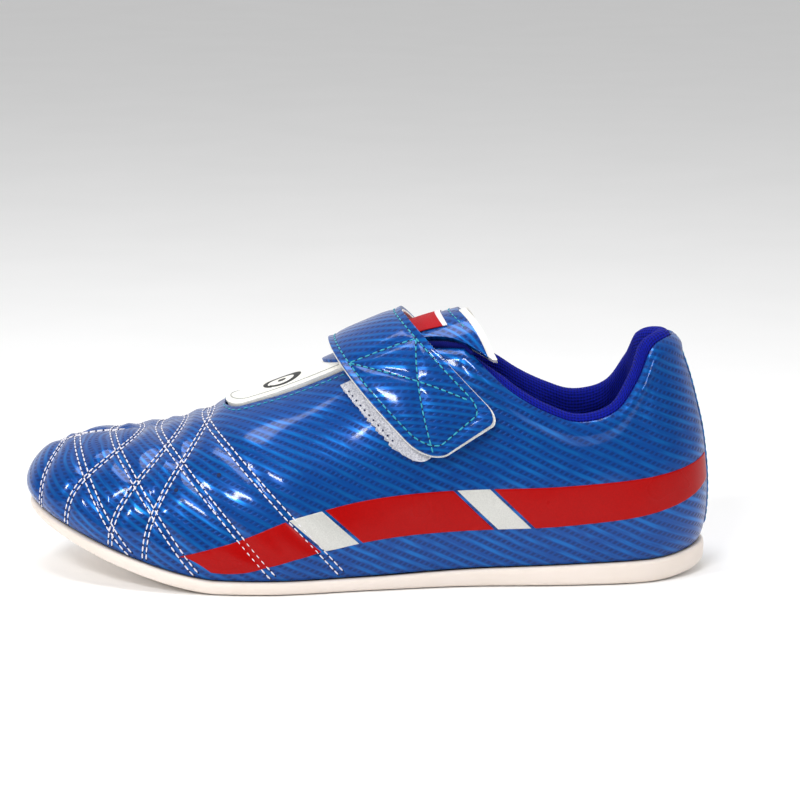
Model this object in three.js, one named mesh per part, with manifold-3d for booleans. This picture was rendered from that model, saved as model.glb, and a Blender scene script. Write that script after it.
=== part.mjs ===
// A low-cut martial arts training shoe for the left foot: a quilted vamp, two quarters and a padded collar
// on a thin rubber cupsole, closed by a hook-and-loop strap over a loose tongue.
// Millimetres. +Z is up, the toe points along -X and the outer (lateral) side faces -Y.
// The origin is on the flat underside of the sole, halfway between toe and heel.
import * as THREE from "three";
import { mergeVertices } from "three/addons/utils/BufferGeometryUtils.js";
import Module from "manifold-3d";

const wasm = await Module();
wasm.setup();

// ---------------------------------------------------------------- driving dimensions
const UPPER_LENGTH = 274; // from toe to heel, measured where the upper meets the sole
const BALL_WIDTH = 96; // across the ball of the foot, at the same line
const INSTEP_HEIGHT = 97; // of the ridge of the upper above the ground, under the strap
const COLLAR_BACK = 96; // height of the panels' top edge at the heel
const COLLAR_SIDE = 66.5; // and at its lowest, below the ankle bones
const TOE_SPRING = 25; // how far the sole's tip stands off the ground
const HEEL_SPRING = 4; // and its rear end

const GAP = 0.3; // between pieces that touch on the real shoe
const FILM_GAP = 0.5; // between layers whose facets don't line up
const PANEL = 1.4; // coated leather of the vamp, quarters and strap
const STIFFENER = 0.9; // toe puff and heel counter
const LINING = 1.2;
const TRIM = 0.8; // side band
const TAPE = 1.2; // hook tape and loop tape
const BACKING = 1.0; // under the strap's cover
const SHELL = 1.2; // white face of the tongue
const TONGUE_FOAM = 2.2;
const LABEL = 0.6;

const TREAD = 2.6; // thickness of the cupsole under its pocket
const RIM = 4.0; // width of the cupsole's rim
const RIM_FLARE = 2.4; // how far the rim stands out past the upper
const BOARD = 1.6;
const SOCKLINER = 3.0;
const GROOVE_DEPTH = 1.2;
const GROOVE_WIDTH = 2.4;

const THROAT_HALF = 14; // half the width of the slot that the tongue fills
const THROAT_CLEARANCE = 0.8;
const TONGUE_TOP_HALF = 22.5;

const STRAP_AT = 1.8; // where the strap's middle crosses the ridge
const STRAP_LEAN = 0.96; // how far the strap runs back for each millimetre it drops
const STRAP_WIDTH = 29.2; // over the instep
const STRAP_END_WIDTH = 33; // at its free end
const STRAP_CREST_LIFT = 9.2; // of the cover's underside above the upper, on the ridge
const STRAP_GAP = 0.6; // between two lengths of the strap at a fold
const FOLD_RISE = 0.5; // of a fold's axis above the cover

const SHOE_BLUE = "#1a52b8";
const STRAP_BLUE = "#1c56bd";
const COLLAR_BLUE = "#1628a8";
const SOLE_WHITE = "#ece4da";
const TONGUE_WHITE = "#f0efe8";
const BAND_RED = "#a90808";
const BAND_SILVER = "#bfc0be";

// ---------------------------------------------------------------- small helpers
const radians = THREE.MathUtils.degToRad;
const lerp = THREE.MathUtils.lerp;
const clamp = THREE.MathUtils.clamp;

// A smooth curve through [x, value] points, held level past its ends.
function through(points) {
  const slope = points.map((_, i) => {
    const a = points[Math.max(i - 1, 0)];
    const b = points[Math.min(i + 1, points.length - 1)];
    return (b[1] - a[1]) / (b[0] - a[0]);
  });
  return (x) => {
    const at = clamp(x, points[0][0], points.at(-1)[0]);
    let i = points.findIndex((p) => p[0] >= at) - 1;
    i = Math.max(i, 0);
    const [x0, v0] = points[i];
    const [x1, v1] = points[i + 1];
    const width = x1 - x0;
    const t = (at - x0) / width;
    const u = 1 - t;
    return (
      v0 * (1 + 2 * t) * u * u + v1 * (1 + 2 * u) * t * t + width * t * u * (slope[i] * u - slope[i + 1] * t)
    );
  };
}

// A closed Catmull-Rom curve through points, at station k.
function around(points, k) {
  const base = Math.floor(k);
  const t = k - base;
  const [a, b, c, d] = [-1, 0, 1, 2].map((step) => points.at((base + step) % points.length));
  return b.map(
    (_, n) =>
      0.5 *
      (2 * b[n] +
        (c[n] - a[n]) * t +
        (2 * a[n] - 5 * b[n] + 4 * c[n] - d[n]) * t * t +
        (3 * b[n] - a[n] - 3 * c[n] + d[n]) * t * t * t),
  );
}

// ---------------------------------------------------------------- the last
// Stations run from the toe tip (0) to the back of the heel (11). Each gives, as shares of the length and of
// the ball width: x, the outer edge's y, the inner edge's y, and the x where its section meets the ridge.
const STATIONS = [
  [-0.5, 0.06, 0.06, -0.362],
  [-0.486, -0.09, 0.2, -0.357],
  [-0.446, -0.235, 0.325, -0.344],
  [-0.37, -0.375, 0.425, -0.318],
  [-0.262, -0.475, 0.48, -0.25],
  [-0.139, -0.505, 0.455, -0.139],
  [-0.008, -0.435, 0.355, -0.008],
  [0.138, -0.365, 0.295, 0.138],
  [0.284, -0.35, 0.308, 0.27],
  [0.402, -0.302, 0.289, 0.345],
  [0.469, -0.17, 0.162, 0.374],
  [0.492, 0, 0, 0.384],
];
const HEEL = STATIONS.length - 1;
const outer = STATIONS.map(([x, y, , ridge]) => [x * UPPER_LENGTH, y * BALL_WIDTH, ridge * UPPER_LENGTH]);
const inner = STATIONS.slice(1, HEEL)
  .map(([x, , y, ridge]) => [x * UPPER_LENGTH, y * BALL_WIDTH, ridge * UPPER_LENGTH])
  .reverse();
const footprint = [...outer, ...inner];

// Profiles along the shoe. Their x is a share of the length.
const along = (points, scale = 1) => {
  const curve = through(points);
  return (x) => curve(x / UPPER_LENGTH) * scale;
};
const ridgeHeight = along(
  [
    [-0.37, 0.565],
    [-0.31, 0.592],
    [-0.245, 0.652],
    [-0.2, 0.705],
    [-0.125, 0.778],
    [-0.06, 0.853],
    [0, 0.928],
    [0.07, 1.01],
    [0.146, 1.075],
    [0.22, 1.135],
    [0.31, 1.2],
    [0.4, 1.22],
  ],
  INSTEP_HEIGHT,
);
const ridgeOffset = along([
  [-0.37, 6],
  [-0.2, 4],
  [0, 3],
  [0.15, 2],
  [0.39, 0],
]);
// Under 1 a section is squarer than an ellipse, over 1 it leans in more.
const squareness = along([
  [-0.37, 0.78],
  [-0.25, 0.92],
  [-0.1, 0.93],
  [0.05, 0.86],
  [0.2, 0.92],
  [0.39, 1.06],
]);
const swell = along([
  [-0.37, 4],
  [-0.25, 2.4],
  [0, 2.6],
  [0.2, 3.2],
  [0.39, 4.6],
]);
const SPRING_START = -0.22 * UPPER_LENGTH;
const HEEL_SPRING_START = 0.41 * UPPER_LENGTH;
const soleBottom = (x) => {
  const toe = clamp((SPRING_START - x) / (SPRING_START + 0.51 * UPPER_LENGTH), 0, 1);
  const heel = clamp((x - HEEL_SPRING_START) / (0.51 * UPPER_LENGTH - HEEL_SPRING_START), 0, 1);
  return TOE_SPRING * toe ** 1.5 + HEEL_SPRING * heel ** 2;
};
const rimHeight = along([
  [-0.51, 4.4],
  [-0.38, 5.6],
  [-0.15, 5.2],
  [0, 5.4],
  [0.18, 7.2],
  [0.36, 8.8],
  [0.5, 9.2],
]);
const rimTop = (x) => soleBottom(x) + rimHeight(x);

// The outside of the upper at station k (over HEEL is the inner side) and angle, 0 where it meets the sole
// and 90 degrees on the ridge.
function lastPoint(k, angle) {
  const [x, y, ridgeX] = around(footprint, k);
  const ridgeY = ridgeOffset(ridgeX);
  const reach = Math.hypot(ridgeX - x, ridgeY - y);
  const power = squareness(ridgeX);
  const across = Math.max(Math.cos(angle), 0) ** power;
  const rise = Math.sin(angle) ** power;
  const inward = (reach * (1 - across) - swell(ridgeX) * Math.sin(Math.PI * rise ** 0.6)) / reach;
  const base = rimTop(x) + GAP;
  return new THREE.Vector3(
    x + (ridgeX - x) * inward,
    y + (ridgeY - y) * inward,
    base + (ridgeHeight(ridgeX) - base) * rise,
  );
}

function lastNormal(k, angle) {
  const top = radians(89.5);
  if (angle > top) {
    const ridgeX = around(footprint, k)[2];
    const step = 0.5;
    const slope = (ridgeHeight(ridgeX + step) - ridgeHeight(ridgeX - step)) / (2 * step);
    const drift = (ridgeOffset(ridgeX + step) - ridgeOffset(ridgeX - step)) / (2 * step);
    const forward = new THREE.Vector3(1, drift, slope);
    return forward.cross(new THREE.Vector3(-drift, 1, 0)).normalize();
  }
  const low = Math.max(angle - 0.01, 0.002);
  const up = lastPoint(k, angle + 0.01).sub(lastPoint(k, low));
  const onward = lastPoint(k + 0.02, angle).sub(lastPoint(k - 0.02, angle));
  return onward.cross(up).normalize();
}

const cell = (k, angle) => ({ point: lastPoint(k, angle), normal: lastNormal(k, angle) });

// The angle at station k where the surface is a distance from the ridge, or at a height.
function angleFromRidge(k, distance) {
  const [x, y, ridgeX] = around(footprint, k);
  const reach = Math.hypot(ridgeX - x, ridgeOffset(ridgeX) - y);
  return Math.acos(Math.min(Math.abs(distance) / reach, 1) ** (1 / squareness(ridgeX)));
}
function angleAtHeight(k, z) {
  const [x, , ridgeX] = around(footprint, k);
  const base = rimTop(x) + GAP;
  const rise = clamp((z - base) / (ridgeHeight(ridgeX) - base), 0, 1);
  return Math.asin(rise ** (1 / squareness(ridgeX)));
}

// Station k on the outer side, and its partner across the shoe.
const across = (k) => 2 * HEEL - k;
const fold = (k) => Math.min(k, across(k));

// ---------------------------------------------------------------- edges of the panels
const THROAT_FRONT = 4.36; // station of the slot's front end
const SEAM_TOP = 4.62; // where the vamp seam leaves the slot
const SEAM_FOOT = 5.75; // and where it meets the sole
const CORNER = 7; // where the slot's edge turns into the collar
const CORNER_HALF = THROAT_HALF + 4.5; // distance of that corner from the ridge
const RIGHT_ANGLE = radians(90);

const collarHeight = through([
  [CORNER, COLLAR_BACK - 1],
  [7.5, COLLAR_SIDE + 10.5],
  [8, COLLAR_SIDE + 1],
  [8.3, COLLAR_SIDE],
  [8.65, COLLAR_SIDE + 4],
  [9.0, COLLAR_BACK - 15],
  [9.4, COLLAR_BACK - 4],
  [9.9, COLLAR_BACK],
  [HEEL, COLLAR_BACK + 1],
]);
const slotHalf = through([
  [SEAM_TOP, THROAT_HALF],
  [6.2, THROAT_HALF],
  [CORNER, CORNER_HALF],
]);

// Angle of the panels' top edge.
function topAngle(k) {
  const near = fold(k);
  return near < CORNER ? angleFromRidge(k, slotHalf(near)) : angleAtHeight(k, collarHeight(near));
}

// Station of the vamp's rear edge at an angle: the seam, then round the slot's front end.
function vampEnd(angle) {
  const corner = angleFromRidge(SEAM_TOP, THROAT_HALF);
  if (angle <= corner) return lerp(SEAM_FOOT, SEAM_TOP, (angle / corner) ** 1.15);
  const [x, y, ridgeX] = around(footprint, SEAM_TOP);
  const reach = Math.hypot(ridgeX - x, ridgeOffset(ridgeX) - y);
  const share = (reach * Math.cos(angle) ** squareness(ridgeX)) / THROAT_HALF;
  return lerp(THROAT_FRONT, SEAM_TOP, 1 - Math.sqrt(Math.max(1 - share * share, 0)));
}

// ---------------------------------------------------------------- mesh builders
const key = (v) => `${Math.round(v.x * 500)},${Math.round(v.y * 500)},${Math.round(v.z * 500)}`;

// One closed geometry from loose triangles, turned so that its faces point out.
function closedGeometry(triangles) {
  const kept = triangles.filter(([a, b, c]) => key(a) !== key(b) && key(b) !== key(c) && key(c) !== key(a));
  const volume = kept.reduce((sum, [a, b, c]) => sum + a.dot(b.clone().cross(c)), 0);
  const positions = kept.flatMap(([a, b, c]) => (volume < 0 ? [a, c, b] : [a, b, c]).flatMap((v) => v.toArray()));
  const geometry = new THREE.BufferGeometry();
  geometry.setAttribute("position", new THREE.Float32BufferAttribute(positions, 3));
  const merged = mergeVertices(geometry, 2e-3);
  merged.computeVertexNormals();
  return merged;
}

const quad = (a, b, c, d) => [
  [a, b, c],
  [a, c, d],
];

// A sheet of cells made thick: it lies between two offsets along the cells' normals, which may depend on the
// cell, and it is closed along every free edge.
function shell(rows, low, high) {
  const offset = (o) => (typeof o === "function" ? o : () => o);
  const [lowAt, highAt] = [offset(low), offset(high)];
  const cells = rows.flatMap((row, i) =>
    row.map((c, j) => ({
      id: key(c.point),
      low: c.point.clone().addScaledVector(c.normal, lowAt(c, i, j)),
      high: c.point.clone().addScaledVector(c.normal, highAt(c, i, j)),
    })),
  );
  const width = rows[0].length;
  const sheet = [];
  for (let i = 0; i + 1 < rows.length; i++) {
    for (let j = 0; j + 1 < width; j++) {
      const at = i * width + j;
      sheet.push(...quad(cells[at], cells[at + width], cells[at + width + 1], cells[at + 1]));
    }
  }
  const faces = sheet.filter(([a, b, c]) => a.id !== b.id && b.id !== c.id && c.id !== a.id);
  const edges = new Map();
  for (const face of faces) {
    face.forEach((a, n) => {
      const b = face[(n + 1) % 3];
      edges.set(`${a.id}|${b.id}`, [a, b]);
    });
  }
  const walls = [...edges.values()]
    .filter(([a, b]) => !edges.has(`${b.id}|${a.id}`))
    .flatMap(([a, b]) => quad(a.high, a.low, b.low, b.high));
  return closedGeometry([
    ...faces.map((face) => face.map((c) => c.high)),
    ...faces.map(([a, b, c]) => [a.low, c.low, b.low]),
    ...walls,
  ]);
}

const steps = (count) => Array.from({ length: count + 1 }, (_, i) => i / count);
const grid = (rows, columns, place) => steps(rows).map((u) => steps(columns).map((v) => place(u, v)));

// A loft through closed rings of equal length, its ends closed by flat strips across the shoe.
function loft(rings) {
  const count = rings[0].length;
  const triangles = [];
  for (let r = 0; r + 1 < rings.length; r++) {
    for (let i = 0; i < count; i++) {
      const j = (i + 1) % count;
      triangles.push(...quad(rings[r][i], rings[r][j], rings[r + 1][j], rings[r + 1][i]));
    }
  }
  const half = count / 2;
  const strips = (ring, turned) => {
    for (let i = 0; i < half; i++) {
      const [a, b] = [ring[i], ring[i + 1]];
      const [c, d] = [ring[(count - i - 1) % count], ring[(count - i) % count]];
      triangles.push(...(turned ? quad(a, d, c, b) : quad(a, b, c, d)));
    }
  };
  strips(rings[0], true);
  strips(rings.at(-1), false);
  return closedGeometry(triangles);
}

// A sweep of a closed outline along stations k; place gives the point of outline corner n at a station.
function sweep(stations, corners, place, closed = false) {
  const rings = stations.map((k) => Array.from({ length: corners }, (_, n) => place(k, n)));
  const triangles = [];
  const last = closed ? rings.length : rings.length - 1;
  for (let r = 0; r < last; r++) {
    const next = rings[(r + 1) % rings.length];
    for (let n = 0; n < corners; n++) {
      const m = (n + 1) % corners;
      triangles.push(...quad(rings[r][n], rings[r][m], next[m], next[n]));
    }
  }
  return { rings, triangles };
}

const group = new THREE.Group();
function add(name, geometry, color, roughness, metalness = 0) {
  const material = new THREE.MeshStandardMaterial({ color, roughness, metalness });
  const mesh = new THREE.Mesh(geometry, material);
  mesh.name = name;
  group.add(mesh);
}

// ---------------------------------------------------------------- sole unit
const OUTLINE_STEPS = 3; // points on the outline for each station
const RING_POINTS = 2 * HEEL * OUTLINE_STEPS;

// The footprint moved out by a distance (in where it is negative), at a height that follows x.
function soleRing(outward, heightAt) {
  return Array.from({ length: RING_POINTS }, (_, i) => {
    const k = i / OUTLINE_STEPS;
    const [x, y] = around(footprint, k);
    const before = around(footprint, k - 0.05);
    const after = around(footprint, k + 0.05);
    const run = new THREE.Vector2(after[0] - before[0], after[1] - before[1]).normalize();
    const px = x + run.y * outward;
    return new THREE.Vector3(px, y - run.x * outward, heightAt(x));
  });
}

function toManifold(geometry) {
  const bare = new THREE.BufferGeometry();
  bare.setAttribute("position", geometry.getAttribute("position"));
  bare.setIndex(geometry.index);
  const merged = mergeVertices(bare, 1e-4);
  return new wasm.Manifold(
    new wasm.Mesh({
      numProp: 3,
      vertProperties: merged.attributes.position.array,
      triVerts: new Uint32Array(merged.index.array),
    }),
  );
}

function fromManifold(solid) {
  const mesh = solid.getMesh();
  const geometry = new THREE.BufferGeometry();
  geometry.setAttribute("position", new THREE.Float32BufferAttribute(mesh.vertProperties, 3));
  geometry.setIndex([...mesh.triVerts]);
  return geometry;
}

const outward = RIM_FLARE;
const POCKET = RIM - RIM_FLARE; // inset of the pocket's wall from the footprint
const outsoleBlank = loft([
  soleRing(outward - 3.2, soleBottom),
  soleRing(outward - 1.2, (x) => soleBottom(x) + 0.5),
  soleRing(outward - 0.2, (x) => soleBottom(x) + 1.8),
  soleRing(outward, (x) => soleBottom(x) + rimHeight(x) * 0.6),
  soleRing(outward - 0.5, (x) => rimTop(x) - 0.5),
  soleRing(outward - 1.1, rimTop),
  soleRing(-POCKET, rimTop),
  soleRing(-POCKET, (x) => soleBottom(x) + TREAD),
]);

// Tread: pivot rings under the ball of the foot, and slots across the heel.
const BALL_X = -0.16 * UPPER_LENGTH;
const PIVOT_RADII = [8, 14, 20];
const SLOT_LENGTH = 34;
const SLOT_PITCH = 11;
const HEEL_SLOTS_X = 0.24 * UPPER_LENGTH;
const HEEL_SLOTS = 5;
function ringGroove(radius) {
  const [low, high] = [-1, GROOVE_DEPTH];
  const half = GROOVE_WIDTH / 2;
  const profile = [
    [radius - half, low],
    [radius + half, low],
    [radius + half, high],
    [radius - half, high],
    [radius - half, low],
  ].map(([r, z]) => new THREE.Vector2(r, z));
  const lathe = new THREE.LatheGeometry(profile, 28);
  lathe.rotateX(RIGHT_ANGLE);
  lathe.translate(BALL_X, 0, 0);
  return lathe;
}

function slotGroove(x) {
  const box = new THREE.BoxGeometry(GROOVE_WIDTH, SLOT_LENGTH, GROOVE_DEPTH + 1);
  return box.translate(x, 0, (GROOVE_DEPTH - 1) / 2);
}

function bare(geometry) {
  geometry.deleteAttribute("normal");
  geometry.deleteAttribute("uv");
  return geometry;
}

const grooves = [
  ...PIVOT_RADII.map(ringGroove),
  ...Array.from({ length: HEEL_SLOTS }, (_, i) => slotGroove(HEEL_SLOTS_X + i * SLOT_PITCH)),
];
const outsole = grooves.reduce(
  (solid, groove) => solid.subtract(toManifold(mergeVertices(bare(groove), 1e-4))),
  toManifold(outsoleBlank),
);
add("outsole", fromManifold(outsole), SOLE_WHITE, 0.55);

// A flat layer that follows the sole, between two heights, inset from the footprint.
function layer(inset, lowAt, highAt) {
  return loft([soleRing(-inset, lowAt), soleRing(-inset, highAt)]);
}
const midsoleTop = (x) => rimTop(x) - 0.6;
add(
  "midsole",
  layer(POCKET + GAP, (x) => soleBottom(x) + TREAD + GAP, midsoleTop),
  "#e8e8e6",
  0.8,
);
const boardInset = PANEL + LINING + STIFFENER + 2 * FILM_GAP + 1.6;
const boardTop = (x) => midsoleTop(x) + GAP + BOARD;
add(
  "insole_board",
  layer(boardInset, (x) => midsoleTop(x) + GAP, boardTop),
  "#d8cdb4",
  0.9,
);
add(
  "sockliner",
  layer(
    boardInset + 0.6,
    (x) => boardTop(x) + GAP,
    (x) => boardTop(x) + GAP + SOCKLINER,
  ),
  COLLAR_BLUE,
  0.85,
);

// ---------------------------------------------------------------- vamp, quarters and linings
const STIFFENER_OUT = -(PANEL + FILM_GAP);
const LINING_OUT = STIFFENER_OUT - STIFFENER - FILM_GAP;
const LINING_IN = LINING_OUT - LINING;
const FOOT = radians(0.15); // the panels' lower edge, just above the rim

// Rows lie closer together towards a panel's two edges, where it curves most.
const eased = (u) => lerp(u, (1 - Math.cos(Math.PI * u)) / 2, 0.6);
const VAMP_ROWS = 9;
const VAMP_COLUMNS = 32;
const station = (f, reach) => (f * reach + 2 * HEEL) % (2 * HEEL);
const vampGrid = (trimBack) =>
  grid(VAMP_ROWS, VAMP_COLUMNS, (u, v) => {
    const angle = lerp(FOOT, RIGHT_ANGLE, eased(u));
    return cell(station(2 * v - 1, vampEnd(angle) - trimBack(u)), angle);
  });
add("vamp", shell(vampGrid(() => 0), -PANEL, 0), SHOE_BLUE, 0.18, 0.3);
add(
  "vamp_lining",
  shell(vampGrid((u) => 0.34 * u ** 4), LINING_IN, LINING_OUT),
  "#e9e9ee",
  0.9,
);
add(
  "toe_puff",
  shell(
    grid(6, 20, (u, v) => cell(station(2 * v - 1, 2.8), lerp(radians(12), radians(64), u))),
    STIFFENER_OUT - STIFFENER,
    STIFFENER_OUT - 0.3,
  ),
  "#e6dcc0",
  0.8,
);

// A cell of a wall that runs from the vamp seam to an end station, up to a top angle that depends on k.
function wallCell(u, v, end, topAt, seamGap) {
  let k = lerp(SEAM_TOP, end, v);
  let angle = 0;
  for (let i = 0; i < 40; i++) {
    angle = lerp(FOOT, topAt(k), u);
    k = lerp(vampEnd(Math.min(angle, topAngle(SEAM_TOP))) + seamGap, end, v);
  }
  return { k, angle };
}
const SEAM_GAP = 0.02; // in stations, about 0.7 mm
const BACK_GAP = 0.02;
const QUARTER_ROWS = 9;
const QUARTER_COLUMNS = 26;
const quarterGrid = (side) =>
  grid(QUARTER_ROWS, QUARTER_COLUMNS, (u, v) => {
    const { k, angle } = wallCell(eased(u), v, HEEL - BACK_GAP, topAngle, SEAM_GAP);
    return cell(side(k), angle);
  });
add("lateral_quarter", shell(quarterGrid((k) => k), -PANEL, 0), SHOE_BLUE, 0.18, 0.3);
add("medial_quarter", shell(quarterGrid(across), -PANEL, 0), SHOE_BLUE, 0.18, 0.3);

const COLLAR_DEPTH = 20; // how far the collar's foam reaches down inside
const LINING_HALF = 24; // the lining stops this far from the ridge, beside the tongue
const liningTop = (k) => {
  const near = fold(k);
  const beside = angleFromRidge(k, LINING_HALF);
  if (near < CORNER - 0.3) return beside;
  return Math.min(beside, angleAtHeight(k, collarHeight(near) - COLLAR_DEPTH - 2.2));
};
add(
  "quarter_lining",
  shell(
    grid(5, 2 * QUARTER_COLUMNS, (u, v) => {
      const part = wallCell(u, 1 - Math.abs(2 * v - 1), HEEL, liningTop, SEAM_GAP);
      return cell(v <= 0.5 ? part.k : across(part.k), part.angle);
    }),
    LINING_IN,
    LINING_OUT,
  ),
  "#1c2fa5",
  0.9,
);
const COUNTER_FRONT = 8.2;
const COUNTER_TOP = 56;
add(
  "heel_counter",
  shell(
    grid(5, 20, (u, v) => {
      const k = lerp(COUNTER_FRONT, across(COUNTER_FRONT), v);
      const top = Math.min(COUNTER_TOP, collarHeight(fold(k)) - COLLAR_DEPTH - 2.6);
      return cell(k, lerp(radians(7), angleAtHeight(k, top), u));
    }),
    STIFFENER_OUT - STIFFENER,
    STIFFENER_OUT - 0.2,
  ),
  "#e6dcc0",
  0.8,
);
const BACKSTAY_HALF = 0.26; // in stations
add(
  "backstay",
  shell(
    grid(8, 4, (u, v) => {
      const k = HEEL + lerp(-BACKSTAY_HALF, BACKSTAY_HALF, v) * lerp(1, 0.75, u);
      return cell(k, lerp(radians(4), topAngle(HEEL) - radians(1), u));
    }),
    FILM_GAP,
    FILM_GAP + TRIM,
  ),
  STRAP_BLUE,
  0.2,
  0.3,
);

// ---------------------------------------------------------------- padded collar
const COLLAR_START = 7.2;
const COLLAR_STEPS = 38;

// A point of the collar's section: h above the panels' top edge, measured square to it, and o in from the face.
function collarPoint(k, h, o) {
  const near = fold(k);
  const step = 0.04;
  const run = lastPoint(near + step, topAngle(near + step)).sub(lastPoint(near - step, topAngle(near - step)));
  const slope = Math.abs(run.z) / Math.hypot(run.x, run.y);
  const stretch = near > HEEL - 1 ? 1 : clamp(Math.hypot(1, slope), 1, 1.9);
  const taper = clamp((near - COLLAR_START) / 0.7, 0, 1);
  const depth = 2.1 + 0.5 * (1 - taper) + (o - 2.1) * lerp(0.45, 1, Math.sqrt(taper));
  const angle = angleAtHeight(k, collarHeight(near) + (h > 0 ? h * stretch : h));
  const { point, normal } = cell(k, angle);
  return point.addScaledVector(normal, -depth);
}
const coverOutside = [
  [-5, 2.1],
  [0.4, 2.1],
  [2.7, 3],
  [3.5, 5.2],
  [2.7, 7.8],
  [-0.5, 9.9],
  [-6, 10.8],
  [-13, 9.2],
  [-21, 6.3],
];
const coverInside = [
  [-21, 5.3],
  [-12.8, 8.1],
  [-6, 9.7],
  [-0.8, 8.9],
  [1.7, 7.1],
  [2.3, 5.2],
  [1.7, 3.7],
  [0, 2.9],
  [-5, 2.9],
];
const foamOutline = [
  [-COLLAR_DEPTH, 2.1],
  [-5.6, 2.1],
  [-5.3, 3.6],
  [-0.2, 3.6],
  [1, 4.1],
  [1.5, 5.2],
  [1.1, 6.5],
  [-1, 8.1],
  [-6, 8.9],
  [-12.6, 7.4],
  [-COLLAR_DEPTH, 4.9],
];
function collarSweep(outline, skipped) {
  const all = steps(COLLAR_STEPS).map((v) => lerp(COLLAR_START, across(COLLAR_START), v));
  const stations = all.slice(skipped, all.length - skipped);
  const { rings, triangles } = sweep(stations, outline.length, (k, n) => collarPoint(k, ...outline[n]));
  const flat = outline.map(([h, o]) => new THREE.Vector2(h, o));
  const area = THREE.ShapeUtils.area;
  for (const ring of [rings[0], rings.at(-1)]) {
    for (const face of THREE.ShapeUtils.triangulateShape(flat, [])) {
      const [a, b, c] = face.map((n) => ring[n]);
      const sameWay = area(face.map((n) => flat[n])) * area(flat) > 0;
      triangles.push(sameWay === (ring !== rings[0]) ? [a, b, c] : [a, c, b]);
    }
  }
  return closedGeometry(triangles);
}
add("collar_cover", collarSweep([...coverOutside, ...coverInside], 0), COLLAR_BLUE, 0.9);
add("collar_foam", collarSweep(foamOutline, 1), "#f2e7b8", 0.9);

// ---------------------------------------------------------------- side bands
// Each side has one belt-like band in slanted blocks: three red ones with two silver ones between.
const bandMiddle = through([
  [3.9, 13],
  [4.6, 15.5],
  [5.3, 23],
  [6.3, 30],
  [8, 33],
  [9.5, 38],
  [10.7, 44],
]);
const bandHalf = through([
  [3.9, 2],
  [4.6, 6.4],
  [5.3, 8],
  [8, 8],
  [9.5, 7],
  [10.7, 5],
]);
const BAND_SLANT = 0.2; // in stations, from the band's middle to its edge
const BAND_BLOCKS = [
  ["red_band_front", 4.1, 5.36, BAND_RED, 0.25, 0],
  ["silver_block_front", 5.4, 5.76, BAND_SILVER, 0.35, 0.5],
  ["red_band_middle", 5.8, 7.1, BAND_RED, 0.25, 0],
  ["silver_block_rear", 7.14, 7.46, BAND_SILVER, 0.35, 0.5],
  ["red_band_rear", 7.5, 10.6, BAND_RED, 0.25, 0],
];
const BAND_STEP = 0.13;
const BAND_FOOT = 1.2; // the band stays this far above the rim
function bandBlock(side, from, to) {
  return shell(
    grid(5, Math.ceil((to - from) / BAND_STEP), (u, v) => {
      const height = 2 * u - 1;
      const middle = lerp(from, to, v);
      const ends = Math.min(1, (BAND_BLOCKS.at(-1)[2] - middle) / 0.4);
      const k = middle - BAND_SLANT * height * ends;
      const floor = rimTop(around(footprint, side(k))[0]) + GAP + BAND_FOOT;
      const z = Math.max(bandMiddle(k) + bandHalf(k) * height, floor + 0.4 * (height + 1));
      return cell(side(k), angleAtHeight(side(k), z));
    }),
    FILM_GAP,
    FILM_GAP + TRIM,
  );
}
for (const [name, from, to, color, roughness, metalness] of BAND_BLOCKS) {
  add(`lateral_${name}`, bandBlock((k) => k, from, to), color, roughness, metalness);
  add(`medial_${name}`, bandBlock(across, from, to), color, roughness, metalness);
}

// ---------------------------------------------------------------- strap
const planeOf = (p) => p.x + STRAP_LEAN * p.z;
const strapPlane = planeOf(new THREE.Vector3(STRAP_AT, 0, ridgeHeight(STRAP_AT)));
const crossing = Math.hypot(1, STRAP_LEAN); // turns a width into a distance between planes

// The cell of the strap at an angle down one side, and a share w of the width (-0.5 is its toe edge).
function strapCell(side, angle, w, width, lean = 0) {
  const target = strapPlane + lean + w * width * crossing;
  let [low, high] = [3, 9.6];
  for (let i = 0; i < 40; i++) {
    const middle = (low + high) / 2;
    if (planeOf(lastPoint(side(middle), angle)) < target) low = middle;
    else high = middle;
  }
  return cell(side((low + high) / 2), angle);
}

const FLAP_FOLD = radians(68);
const FLAP_END = radians(29.5);
const ANCHOR_FOLD = radians(56);
const ANCHOR_END = radians(24);
const END_LEAN = 5.5; // how far the free end drifts to the heel

// One angle for the whole strap: 0 on the ridge, positive down the outer side, negative down the inner side.
function strapAt(turn, w) {
  const angle = RIGHT_ANGLE - Math.abs(turn);
  const down = clamp(turn / (RIGHT_ANGLE - FLAP_END), 0, 1);
  const width = lerp(STRAP_WIDTH, STRAP_END_WIDTH, down);
  return strapCell(turn >= 0 ? (k) => k : across, angle, w, width, END_LEAN * down);
}
const LOOP_FOOT = 0.8; // of the loop tape above the quarter
const LOOP_TOP = LOOP_FOOT + TAPE;
const HOOK_TOP = LOOP_TOP + FILM_GAP + TAPE;
const FLAP_LIFT = HOOK_TOP + GAP + BACKING + GAP;
const ANCHOR_LIFT = FILM_GAP + BACKING + GAP;
const strapLift = through([
  [-(RIGHT_ANGLE - ANCHOR_END), ANCHOR_LIFT],
  [-(RIGHT_ANGLE - ANCHOR_END) * 0.8, ANCHOR_LIFT + 0.3],
  [-(RIGHT_ANGLE - ANCHOR_FOLD), STRAP_CREST_LIFT - 2.6],
  [0, STRAP_CREST_LIFT],
  [RIGHT_ANGLE - FLAP_FOLD, STRAP_CREST_LIFT - 1.4],
  [(RIGHT_ANGLE - FLAP_END) * 0.7, FLAP_LIFT + 0.1],
  [RIGHT_ANGLE - FLAP_END, FLAP_LIFT],
]);

// Rounds the corners of a strap's free end: how much of the length is left at w.
const rounding = (w, corner) => {
  const past = Math.max(Math.abs(w) - (0.5 - corner), 0) / corner;
  return 1 - Math.sqrt(1 - Math.min(past, 1) ** 2);
};

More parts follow.
